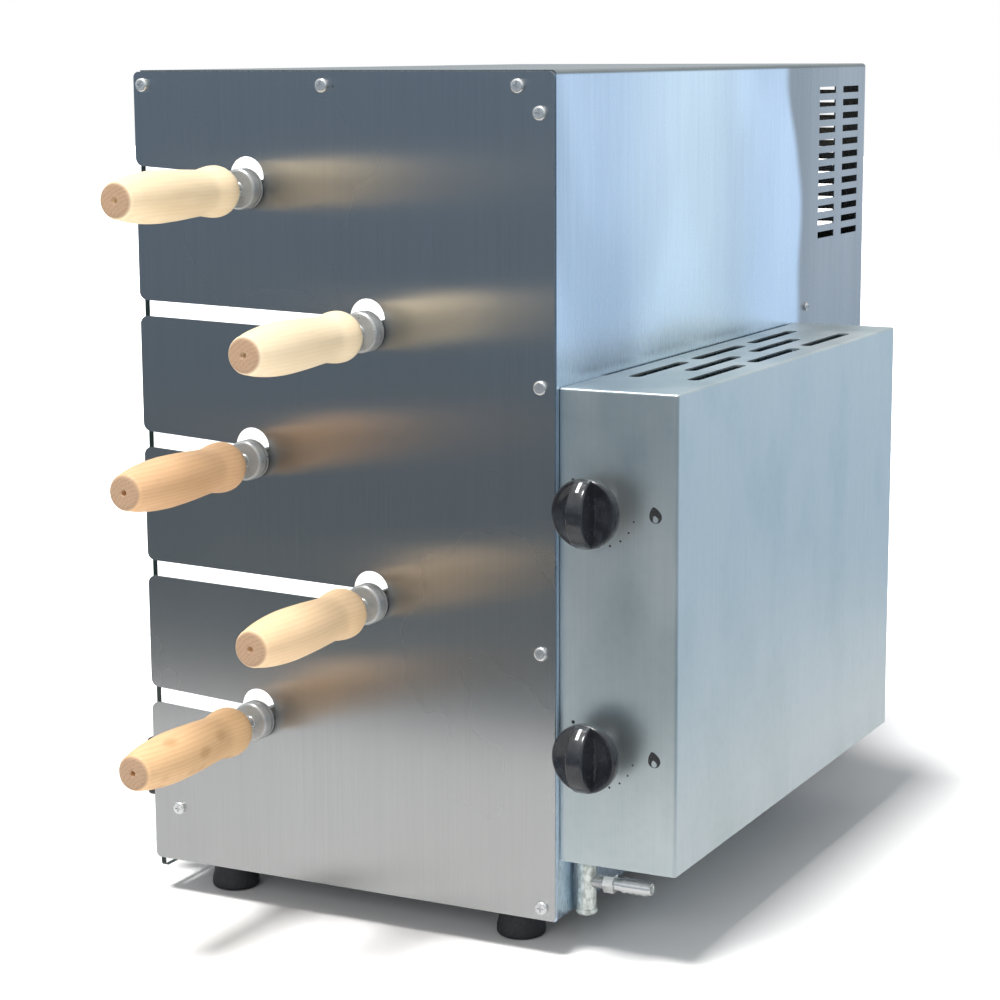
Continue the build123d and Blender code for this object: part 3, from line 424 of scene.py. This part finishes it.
class Shape:
    """Vertices and faces collected from several simple forms."""

    def __init__(self):
        self.verts = []
        self.faces = []

    def rings(self, loops):
        """Joins closed loops of equal length, and caps the first and the last."""
        start = len(self.verts)
        size = len(loops[0])
        for loop in loops:
            self.verts.extend(loop)
        for row in range(len(loops) - 1):
            for i in range(size):
                a = start + row * size + i
                b = start + row * size + (i + 1) % size
                self.faces.append((a, b, b + size, a + size))
        last = start + (len(loops) - 1) * size
        self.faces.append(tuple(range(start + size - 1, start - 1, -1)))
        self.faces.append(tuple(range(last, last + size)))
        return self

    def lathe(self, profile, centre, axis, segments, wobble=None):
        """Turns (along, radius) points about an axis through centre."""
        loops = []
        for along, radius in profile:
            loop = []
            for i in range(segments):
                angle = 2 * math.pi * i / segments
                r = radius * (wobble(along, angle) if wobble else 1.0)
                u, v = r * math.cos(angle), r * math.sin(angle)
                spot = {"x": (along, u, v), "y": (u, along, v), "z": (u, v, along)}[axis]
                loop.append(centre + Vector(spot))
            loops.append(loop)
        return self.rings(loops)

    def bar(self, low, high, bevel):
        """A box with bevelled edges."""
        bm = bmesh.new()
        bmesh.ops.create_cube(bm, size=1.0)
        middle, size = (low + high) / 2, high - low
        for v in bm.verts:
            v.co = middle + Vector(a * b for a, b in zip(v.co, size))
        bmesh.ops.bevel(bm, geom=bm.edges[:], offset=bevel, segments=2,
                        affect="EDGES", profile=0.7)
        start = len(self.verts)
        bm.verts.index_update()
        self.verts.extend(v.co.copy() for v in bm.verts)
        for face in bm.faces:
            self.faces.append(tuple(start + v.index for v in face.verts))
        bm.free()
        return self


def smooth_through(points, steps):
    """Catmull-Rom points through a list of (along, radius) pairs."""
    ends = [points[0]] + list(points) + [points[-1]]
    out = []
    for i in range(1, len(ends) - 2):
        for k in range(steps):
            t = k / steps
            row = []
            for c in (0, 1):
                a, b, d, e = (ends[i + j][c] for j in (-1, 0, 1, 2))
                row.append(0.5 * (2 * b + (d - a) * t + (2 * a - 5 * b + 4 * d - e) * t * t
                                  + (3 * b - a - 3 * d + e) * t ** 3))
            out.append(tuple(row))
    return out + [points[-1]]


def rounded(start_deg, end_deg, radius, centre, steps):
    """Points of an arc from one angle to another about an (along, radius) centre."""
    out = []
    for k in range(steps + 1):
        angle = math.radians(start_deg + (end_deg - start_deg) * k / steps)
        out.append((centre[0] + radius * math.cos(angle), centre[1] + radius * math.sin(angle)))
    return out


# ---- skewers ------------------------------------------------------------------
# Shares of the grip's length from its collar end, and of its greatest radius.
GRIP_PROFILE = (
    (0.021, 0.870), (0.061, 0.981), (0.106, 0.998), (0.163, 0.951),
    (0.224, 0.887), (0.301, 0.904), (0.431, 0.957), (0.577, 0.992),
    (0.675, 0.992), (0.789, 0.940), (0.894, 0.840), (0.955, 0.740),
)
GRIP_FACE_R = 9.2 * MM
GRIP_BORE_R = 4.7 * MM
END_HOLE_R, END_HOLE_DEPTH = 1.7 * MM, 8 * MM
HAND_WOBBLE = 0.0022
COLLAR_FRONT, COLLAR_BACK = 12.5 * MM, 1.2 * MM     # both in front of the panel
GROOVE_FRONT, GROOVE_W, GROOVE_DEPTH = 4.8 * MM, 2.2 * MM, 1.6 * MM
FERRULE_R, NECK_R = 4.5 * MM, 5.2 * MM
PIN_R, PIN_HALF_L = 1.1 * MM, 6.0 * MM
BLADE_HALF_T, BLADE_HALF_W = 1.6 * MM, 5 * MM
BLADE_STOP = 55 * MM                # short of the bar's back end
SQUARE_HALF = 4 * MM
# Light tone, dark tone and strength of the knots in each grip.
WOODS = {
    1: ((0.95, 0.78, 0.53), (0.84, 0.62, 0.37), 0.0),
    2: ((0.93, 0.77, 0.54), (0.84, 0.64, 0.40), 0.0),
    3: ((0.76, 0.49, 0.28), (0.60, 0.34, 0.17), 0.0),
    4: ((0.88, 0.64, 0.40), (0.74, 0.49, 0.26), 0.0),
    5: ((0.79, 0.52, 0.29), (0.60, 0.36, 0.17), 0.40),
}


def make_grip(number):
    """Turned wooden grip with a rounded shoulder, waist, swell and drilled flat end."""
    low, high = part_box("skewer_handle_%d" % number)
    centre = middle_axis(low, high)
    length, radius = high.y - low.y, (high.z - low.z) / 2
    light, dark, knots = WOODS[number]
    body = [(high.y - share * length, r * radius) for share, r in smooth_through(GRIP_PROFILE, 5)]
    shoulder = [(high.y, GRIP_BORE_R), (high.y, 0.58 * radius)]
    shoulder += [(high.y - 0.005 * length, 0.70 * radius)]
    end = body[-1]
    nose = []
    for angle in (0.3, 0.6, 0.9, 1.2, 1.5):
        along = end[0] - (end[0] - low.y) * math.sin(angle)
        nose.append((along, GRIP_FACE_R + (end[1] - GRIP_FACE_R) * math.cos(angle)))
    face = [(low.y, GRIP_FACE_R - 0.4 * MM), (low.y, 2.3 * MM)]
    face += [(low.y + 0.5 * MM, 1.8 * MM), (low.y + END_HOLE_DEPTH, END_HOLE_R)]
    rng = random.Random(number)
    waves = [(rng.uniform(20, 60), rng.uniform(0, 6.28), rng.randint(2, 3)) for _ in range(3)]

    def turned_by_hand(along, angle):
        return 1.0 + sum(HAND_WOBBLE * math.sin(f * along + phase + n * angle)
                         for f, phase, n in waves)

    profile = shoulder + body + nose + face
    shape = Shape().lathe(profile, centre, "y", 72, wobble=turned_by_hand)
    material = wood("wood_%d" % number, centre, low.y, light, dark, knots, number)
    grip = piece("grip_%d" % number, shape.verts, shape.faces, material,
                 "skewer_%d" % number)
    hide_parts("skewer_handle_%d" % number)


def make_skewer(number, material):
    """Collar, ferrule with its pin, flat blade and square drive end, in one piece."""
    low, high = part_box("skewer_bar_%d" % number)
    grip_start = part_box("skewer_handle_%d" % number)[1].y
    panel_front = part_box("front_panel")[0].y
    centre = middle_axis(low, high)
    collar_r = (high.z - low.z) / 2
    front, back = panel_front - COLLAR_FRONT, panel_front - COLLAR_BACK
    groove = panel_front - GROOVE_FRONT
    groove_r = collar_r - GROOVE_DEPTH
    profile = [(grip_start - 2 * MM, FERRULE_R), (front - 0.6 * MM, FERRULE_R)]
    profile += [(front, 5.1 * MM), (front, collar_r - 2.2 * MM)]
    profile += rounded(180, 90, 2.0 * MM, (front + 2.0 * MM, collar_r - 2.0 * MM), 4)
    profile += [(groove - 0.3 * MM, collar_r), (groove, collar_r - 0.3 * MM)]
    profile += [(groove, groove_r), (groove + GROOVE_W, groove_r)]
    profile += [(groove + GROOVE_W, collar_r - 0.2 * MM)]
    profile += [(back - 0.3 * MM, collar_r), (back, collar_r - 0.3 * MM)]
    profile += [(back, NECK_R), (panel_front + 16 * MM, NECK_R)]
    profile += [(panel_front + 20 * MM, 1.2 * MM)]
    shape = Shape().lathe(profile, centre, "y", 72)
    pin_end, pin_edge = 0.7 * MM, 5.7 * MM
    pin = [(-PIN_HALF_L, pin_end), (-pin_edge, PIN_R), (pin_edge, PIN_R), (PIN_HALF_L, pin_end)]
    shape.lathe(pin, centre + Vector((0, front - 3.0 * MM, -2.0 * MM)), "x", 20)
    blade_back = high.y - BLADE_STOP
    shape.bar(centre + Vector((-BLADE_HALF_T, panel_front + 10 * MM, -BLADE_HALF_W)),
              centre + Vector((BLADE_HALF_T, blade_back, BLADE_HALF_W)), 0.5 * MM)
    shape.bar(centre + Vector((-SQUARE_HALF, blade_back - 6 * MM, -SQUARE_HALF)),
              centre + Vector((SQUARE_HALF, high.y, SQUARE_HALF)), 0.6 * MM)
    bar = piece("skewer_%d_steel" % number, shape.verts, shape.faces, material,
                "skewer_%d" % number)
    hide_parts("skewer_bar_%d" % number)


# ---- knobs and their marks ----------------------------------------------------
RIDGE_HALF = 6.2 * MM
ARCH_R = 24.0 * MM
DISH_Y, SKIRT_BACK_Y = 16 * MM, 22 * MM             # from the knob's front
INDEX_HALF_W, INDEX_L, INDEX_T = 1.1 * MM, 5.4 * MM, 0.3 * MM
INDEX_START = 7.2 * MM                              # from the rim, towards the middle
DOTS, DOT_RING_R, DOT_START_DEG, DOT_STEP_DEG = 12, 25.2 * MM, -16, 18.8
FLAME_X, FLAME_Z = 39.4 * MM, -2 * MM               # from the knob's middle
FLAME_R_MM = 4.7


def arch(front_y, z):
    """Y of the ridge's arched crest at height z."""
    return front_y + ARCH_R - math.sqrt(ARCH_R ** 2 - z * z)


def ridge_loop(z, front_y, back_y, rim_r):
    """Section of the finger ridge at height z: straight flanks, rounded crest."""
    crest = arch(front_y, z)
    half = RIDGE_HALF * (1.0 - 0.12 * (z / rim_r) ** 2)
    foot, nose = half + 2.4 * MM, 1.6 * MM
    points = [(-foot, back_y), (-half - 0.9 * MM, back_y - 0.6 * MM)]
    points += [(-half - 0.2 * MM, back_y - 2.2 * MM)]
    for k in range(5):
        angle = math.radians(180 - 22.5 * k)
        points.append((-half + nose + nose * math.cos(angle) + 0.3 * MM,
                       crest + nose - nose * math.sin(angle)))
    points += [(-a, b) for a, b in reversed(points)]
    return [(a, b, z) for a, b in points]


def make_knob(level, black, white):
    """Round skirt with a raised rim, a dished face and an arched finger ridge."""
    low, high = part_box("knob_" + level)
    centre = middle_axis(low, high)
    rim = (high.z - low.z) / 2
    face_y, back_y = low.y + DISH_Y, low.y + SKIRT_BACK_Y
    profile = [(high.y, 4.1 * MM), (high.y, 8.6 * MM), (high.y - 0.5 * MM, 9.0 * MM)]
    profile += [(back_y + 0.3 * MM, 10.6 * MM), (back_y, 11.2 * MM), (back_y, rim - 1.0 * MM)]
    profile += rounded(0, 90, 0.8 * MM, (back_y - 0.8 * MM, rim - 0.8 * MM), 4)
    profile += rounded(90, 180, 1.5 * MM, (face_y + 1.5 * MM, rim - 1.6 * MM), 6)
    profile += [(face_y + 0.5 * MM, rim - 3.6 * MM), (face_y + 1.6 * MM, rim - 5.0 * MM)]
    profile += [(face_y + 2.2 * MM, rim - 7.5 * MM)]
    profile += [(face_y + 2.5 * MM, 4 * MM), (face_y + 2.5 * MM, 0.5 * MM)]
    shape = Shape().lathe(profile, centre, "y", 96)
    tall = rim - 1.1 * MM
    loops = []
    for k in range(41):
        z = -tall + 2 * tall * k / 40
        loops.append([centre + Vector(v) for v in ridge_loop(z, low.y, face_y + 2.6 * MM, rim)])
    shape.rings(loops)
    knob = piece("knob_%s_moulding" % level, shape.verts, shape.faces, black,
                 "control_" + level, sharp=50)
    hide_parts("knob_" + level)
    strip = []
    for k in range(9):
        z = rim - INDEX_START + INDEX_L * k / 8
        crest = arch(low.y, z)
        section = ((-INDEX_HALF_W, INDEX_T), (-INDEX_HALF_W, 0.0),
                   (INDEX_HALF_W, 0.0), (INDEX_HALF_W, INDEX_T))
        strip.append([centre + Vector((side, crest + depth, z)) for side, depth in section])
    mark = Shape().rings(strip)
    piece("knob_%s_index" % level, mark.verts, mark.faces, white,
          "control_" + level)


def make_scale(level, black, steel_look):
    """Round dots that grow round the knob, and a small generic flame sign."""
    centre = middle_axis(*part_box("knob_" + level))
    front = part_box("control_box")[0].y
    dots = Shape()
    for k in range(DOTS):
        angle = math.radians(DOT_START_DEG - DOT_STEP_DEG * k)
        spot = centre + Vector((DOT_RING_R * math.cos(angle), 0, DOT_RING_R * math.sin(angle)))
        r = (0.62 + 0.06 * k) * MM
        dot = [(front + 0.02 * MM, r), (front - 0.08 * MM, r), (front - 0.10 * MM, 0.8 * r)]
        dots.lathe(dot, spot, "y", 20)
    piece("scale_dots_" + level, dots.verts, dots.faces, black, "casing")
    middle = centre + Vector((FLAME_X, 0, FLAME_Z))
    parts = (("flame", 0.92, 0.10, 0.0, black), ("flame_core", 0.40, 0.16, -2.4 * MM, steel_look))
    for name, size, lift, drop, material in parts:
        outline = flame_outline(size)
        loops = []
        for y in (front + 0.02 * MM, front - lift * MM):
            loops.append([Vector((middle.x + a * MM, y, middle.z + drop + b * MM))
                          for a, b in outline])
        sign = Shape().rings(loops)
        piece("%s_%s" % (name, level), sign.verts, sign.faces, material,
              "casing")


def flame_outline(size):
    """A tongue of flame, in millimetres: a round belly and a tip that leans left."""
    out = []
    for k in range(40):
        angle = 2 * math.pi * k / 40 - math.pi / 2
        a, b = FLAME_R_MM * math.cos(angle), FLAME_R_MM * math.sin(angle)
        if b > 0:
            lean = (b / FLAME_R_MM) ** 2
            a = a * (1 - 0.35 * lean) - 1.5 * lean
            b *= 1.45
        out.append((a * size, (b - 0.6) * size))
    return out


# ---- feet and gas inlet -------------------------------------------------------
FOOT_R, FOOT_EDGE_R = 17 * MM, 3.0 * MM
BARB_RIBS, RIB_PITCH = 4, 4.8 * MM
THREAD_TURNS, THREAD_PITCH = 12, 0.8 * MM


def make_feet(material):
    """Four moulded rubber feet with a rolled base and a shallow tread groove."""
    low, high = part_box("rubber_feet")
    shape = Shape()
    profile = [(high.z, 3.2 * MM), (high.z, 14.0 * MM), (high.z - 0.6 * MM, 14.6 * MM)]
    profile += smooth_through([(high.z - 2 * MM, 14.8 * MM), (high.z - 9 * MM, 15.0 * MM),
                               (high.z - 15 * MM, 16.0 * MM), (high.z - 18 * MM, 16.8 * MM)], 5)
    profile += rounded(90, 180, FOOT_EDGE_R, (low.z + FOOT_EDGE_R, FOOT_R - FOOT_EDGE_R), 7)
    profile += [(low.z, 9.5 * MM), (low.z + 1.2 * MM, 9.0 * MM), (low.z + 1.2 * MM, 4.0 * MM)]
    for x in (low.x + FOOT_R, high.x - FOOT_R):
        for y in (low.y + FOOT_R, high.y - FOOT_R):
            shape.lathe(profile, Vector((x, y, 0)), "z", 64)
    feet = piece("feet_moulding", shape.verts, shape.faces, material, "casing")
    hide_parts("rubber_feet")


def make_barb(material):
    """Plated hose barb: thread, hexagon, ribbed nose and an open bore."""
    low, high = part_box("hose_barb")
    pipe_low, pipe_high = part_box("gas_manifold")
    centre = Vector((0, (pipe_low.y + pipe_high.y) / 2, (low.z + high.z) / 2))
    start = pipe_high.x
    shape = Shape()
    thread = []
    for k in range(THREAD_TURNS):
        x = start - 2 * MM + k * THREAD_PITCH
        thread += [(x, 4.0 * MM), (x + THREAD_PITCH / 2, 4.5 * MM)]
    shape.lathe(thread, centre, "x", 48)
    loops = []
    for x, r in ((7.0, 5.9), (7.5, 6.7), (14.5, 6.7), (15.0, 5.9)):
        loop = []
        for k in range(6):
            angle = math.radians(60 * k)
            loop.append(centre + Vector((start + x * MM, r * MM * math.cos(angle),
                                         r * MM * math.sin(angle))))
        loops.append(loop)
    shape.rings(loops)
    nose = [(start + 14.5 * MM, 4.3 * MM)]
    for rib in range(BARB_RIBS):
        x = high.x - 20.4 * MM + rib * RIB_PITCH
        nose += [(x, 4.5 * MM), (x + 0.3 * MM, 5.45 * MM)]
        nose += [(x + 0.9 * MM, 5.55 * MM), (x + 4.4 * MM, 4.5 * MM)]
    nose += [(high.x - 0.6 * MM, 4.5 * MM), (high.x, 4.1 * MM), (high.x, 3.2 * MM)]
    nose += [(high.x - 0.5 * MM, 2.9 * MM), (high.x - 12 * MM, 2.9 * MM)]
    shape.lathe(nose, centre, "x", 64)
    barb = piece("hose_barb_turned", shape.verts, shape.faces, material, "casing")
    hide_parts("hose_barb")


# ---- studio -------------------------------------------------------------------
FLOOR_TONE = (0.90, 0.90, 0.90)
FLOOR_GAP = 0.0005                  # below the feet, and between the two floor sheets
FLOOR_IN_METAL = 0.58               # share of the floor's tone that metal mirrors
FADE_START, FADE_END = 0.34, 0.60   # where the floor fades to white, in metres
NEAR_FLOOR = ((-1.1, -0.73), (0.50, 1.0))
FAR_FLOOR = ((-12.0, -12.0), (12.0, 12.0))


def make_floor(name, low, high, depth, seen_in_metal):
    """A pale floor sheet that fades to white for the camera, away from the object."""
    mesh = bpy.data.meshes.new(name)
    z = CAD_BOX[0][2] - FLOOR_GAP
    corners = ((low[0], low[1]), (high[0], low[1]), (high[0], high[1]), (low[0], high[1]))
    mesh.from_pydata([(x, y, z) for x, y in corners], [], [(0, 1, 2, 3)])
    floor = bpy.data.objects.new(name, mesh)
    bpy.context.scene.collection.objects.link(floor)
    floor.location.z = -depth
    p = Paint(name, Roughness=0.9, Specular_IOR_Level=0.1, Emission_Color=(1, 1, 1, 1))
    speck = p.noise((3, 3, 3), detail=3)
    tone = p.mix(speck, FLOOR_TONE, shade(FLOOR_TONE, 0.985))
    ray = p.add("ShaderNodeLightPath")
    in_metal = ray.outputs["Is Glossy Ray"]
    p.put(Base_Color=p.mix(in_metal, tone, shade(FLOOR_TONE, FLOOR_IN_METAL)))
    mesh.materials.append(p.material)
    from_object = p.length(p.vector("MULTIPLY", p.place, (1, 1, 0)))
    fade = p.spread(from_object, FADE_START, FADE_END, 0.0, 0.9)
    p.put(Emission_Strength=p.math("MULTIPLY", fade, ray.outputs["Is Camera Ray"]))
    floor.visible_glossy = seen_in_metal


def make_sun(name, towards, width, strength, colour):
    """A large soft source far away in the given direction."""
    light = bpy.data.lights.new(name, "SUN")
    light.angle = math.radians(width)
    light.energy = strength
    light.color = colour
    lamp = bpy.data.objects.new(name, light)
    bpy.context.scene.collection.objects.link(lamp)
    lamp.rotation_euler = (-Vector(towards)).to_track_quat("-Z", "Y").to_euler()


def make_light(name, place, target, size, power, colour):
    """A rectangular soft light that points at the target."""
    light = bpy.data.lights.new(name, "AREA")
    light.shape = "RECTANGLE"
    light.size, light.size_y = size
    light.energy = power
    light.color = colour
    lamp = bpy.data.objects.new(name, light)
    bpy.context.scene.collection.objects.link(lamp)
    lamp.location = place
    lamp.rotation_euler = (Vector(target) - Vector(place)).to_track_quat("-Z", "Y").to_euler()
    return lamp


def make_world():
    """White to look at; for metal, a room that is dim ahead and bluish elsewhere."""
    world = bpy.data.worlds.new("studio")
    world.use_nodes = True
    bpy.context.scene.world = world
    tree = world.node_tree
    tree.nodes.clear()

    def add(kind, inputs=None, **settings):
        node = tree.nodes.new(kind)
        for key, value in settings.items():
            setattr(node, key, value)
        for key, value in (inputs or {}).items():
            if isinstance(value, bpy.types.NodeSocket):
                tree.links.new(value, node.inputs[key])
            else:
                node.inputs[key].default_value = value
        return node

    def mix(factor, a, b):
        node = add("ShaderNodeMix", {0: factor, MIX_A: a, MIX_B: b}, data_type="RGBA")
        return node.outputs[MIX_RESULT]

    def spread(value, low, high):
        return add("ShaderNodeMapRange", {"Value": value, "From Min": low, "From Max": high},
                   interpolation_type="SMOOTHSTEP").outputs[0]

    way = add("ShaderNodeTexCoord").outputs["Generated"]
    height = add("ShaderNodeSeparateXYZ", {0: way}).outputs["Z"]
    front_left = (-0.45, -0.89, 0)
    facing = add("ShaderNodeVectorMath", {0: way, 1: front_left}, operation="DOT_PRODUCT")
    ahead = facing.outputs["Value"]
    blue = mix(spread(height, -0.24, -0.02), (0.36, 0.50, 0.63, 1), (0.86, 0.96, 1.08, 1))
    dim = mix(spread(height, -0.22, 0.0), (0.155, 0.180, 0.195, 1), (0.185, 0.245, 0.320, 1))
    low_part = mix(spread(ahead, -0.75, -0.25), blue, dim)
    haze = mix(spread(height, 0.02, 0.12), low_part, (0.46, 0.53, 0.56, 1))
    room = mix(spread(height, 0.30, 0.55), haze, (1.0, 1.0, 1.0, 1))
    ray = add("ShaderNodeLightPath")
    soft = mix(ray.outputs["Is Glossy Ray"], (0.46, 0.47, 0.48, 1), room)
    seen = mix(ray.outputs["Is Camera Ray"], soft, (1, 1, 1, 1))
    surface = add("ShaderNodeBackground", {"Color": seen, "Strength": 1.0})
    output = add("ShaderNodeOutputWorld")
    tree.links.new(surface.outputs[0], output.inputs["Surface"])


def make_studio():
    """Pale floor, one broad key light from above the front, and a soft front fill."""
    bpy.context.scene.view_settings.view_transform = "Standard"
    make_world()
    make_floor("floor", *NEAR_FLOOR, 0.0, True)
    make_floor("floor_beyond", *FAR_FLOOR, FLOOR_GAP, False)
    make_sun("key", (-0.10, -0.36, 1.0), 15, 3.8, (1.0, 0.99, 0.97))
    fill = make_light("fill", (0.3, -2.6, 1.1), (0, 0, 0.3), (1.6, 1.0), 16,
                      (1.0, 0.99, 0.98))
    fill.visible_glossy = False


# ---- put it together ----------------------------------------------------------
def dress(material, *names):
    """Gives CAD nodes a material."""
    for name in names:
        mesh = NODES[name].data
        mesh.materials.clear()
        mesh.materials.append(material)


def each(prefix):
    """The names of all CAD nodes that start with the prefix."""
    return [name for name in NODES if name.startswith(prefix)]


make_camera()
make_studio()

dark_plastic = glossy_black()
black_rubber = rubber()
skewer_steel = steel("skewer_steel", (0.42, 0.43, 0.43), (0.54, 0.55, 0.55), 0.34, 0.6)
screw_steel = steel("screw_steel", (0.66, 0.67, 0.68), (0.80, 0.81, 0.81), 0.22, 0.85)
machined = steel("machined_steel", (0.45, 0.46, 0.48), (0.58, 0.59, 0.60), 0.35)
chrome = steel("bright_chrome", (0.60, 0.61, 0.62), (0.74, 0.75, 0.75), 0.16, 0.85)
brass = steel("brass", (0.66, 0.46, 0.20), (0.80, 0.60, 0.30), 0.32)
bronze = steel("bronze", (0.45, 0.29, 0.14), (0.60, 0.41, 0.22), 0.45)
aluminium = steel("aluminium_tube", (0.70, 0.71, 0.73), (0.80, 0.81, 0.83), 0.38)
plain_sheet = brushed_sheet()
folded_sheet = side_sheet()
satin_sheet = box_sheet()
hot_sheet = heated_steel("inner_stainless", (0.46, 0.45, 0.44), 0.32)
hot_burner = heated_steel("burner_steel", (0.33, 0.31, 0.30), 0.42)
zinc = galvanised_pipe()
white_ink = ink("white_ink", (0.85, 0.85, 0.84))
black_ink = ink("black_ink", (0.012, 0.012, 0.014))

dress(plain_sheet, "front_panel", "rear_panel", "gear_cover")
dress(folded_sheet, "casing_wrap")
dress(satin_sheet, "control_box", "box_cover")
dress(hot_sheet, "bulkhead", "motor_bracket", "drip_tray")
dress(screw_steel, "panel_screws", "cover_screws", "foot_screws", "door_screws", "motor_screws")
dress(clear_glass(), "door_glass")
dress(dark_plastic, "door_handle", "power_switch", "switch_rocker", "cord_gland")
dress(bronze, "socket_bushings")
motor_paint = paint_coat("motor_paint", (0.035, 0.036, 0.040), (0.060, 0.062, 0.068), 0.4)
dress(motor_paint, "gearmotor")
dress(brass, "gas_injectors", "gas_valve_lower", "gas_valve_upper")
dress(aluminium, "gas_tubes")
dress(zinc, "gas_manifold", "manifold_plug")
dress(hot_burner, "burner_lower", "burner_upper")
dress(ceramic(), "burner_tiles_lower", "burner_tiles_upper")
dress(machined, "motor_pinion", "valve_stem_lower", "valve_stem_upper", "hinge_clamps",
      "hinge_brackets", *each("drive_socket_"), *each("drive_gear_"))

for number in SKEWERS:
    make_grip(number)
    make_skewer(number, skewer_steel)
for level in LEVELS:
    make_knob(level, dark_plastic, white_ink)
    make_scale(level, black_ink, satin_sheet)
make_feet(black_rubber)
make_barb(chrome)
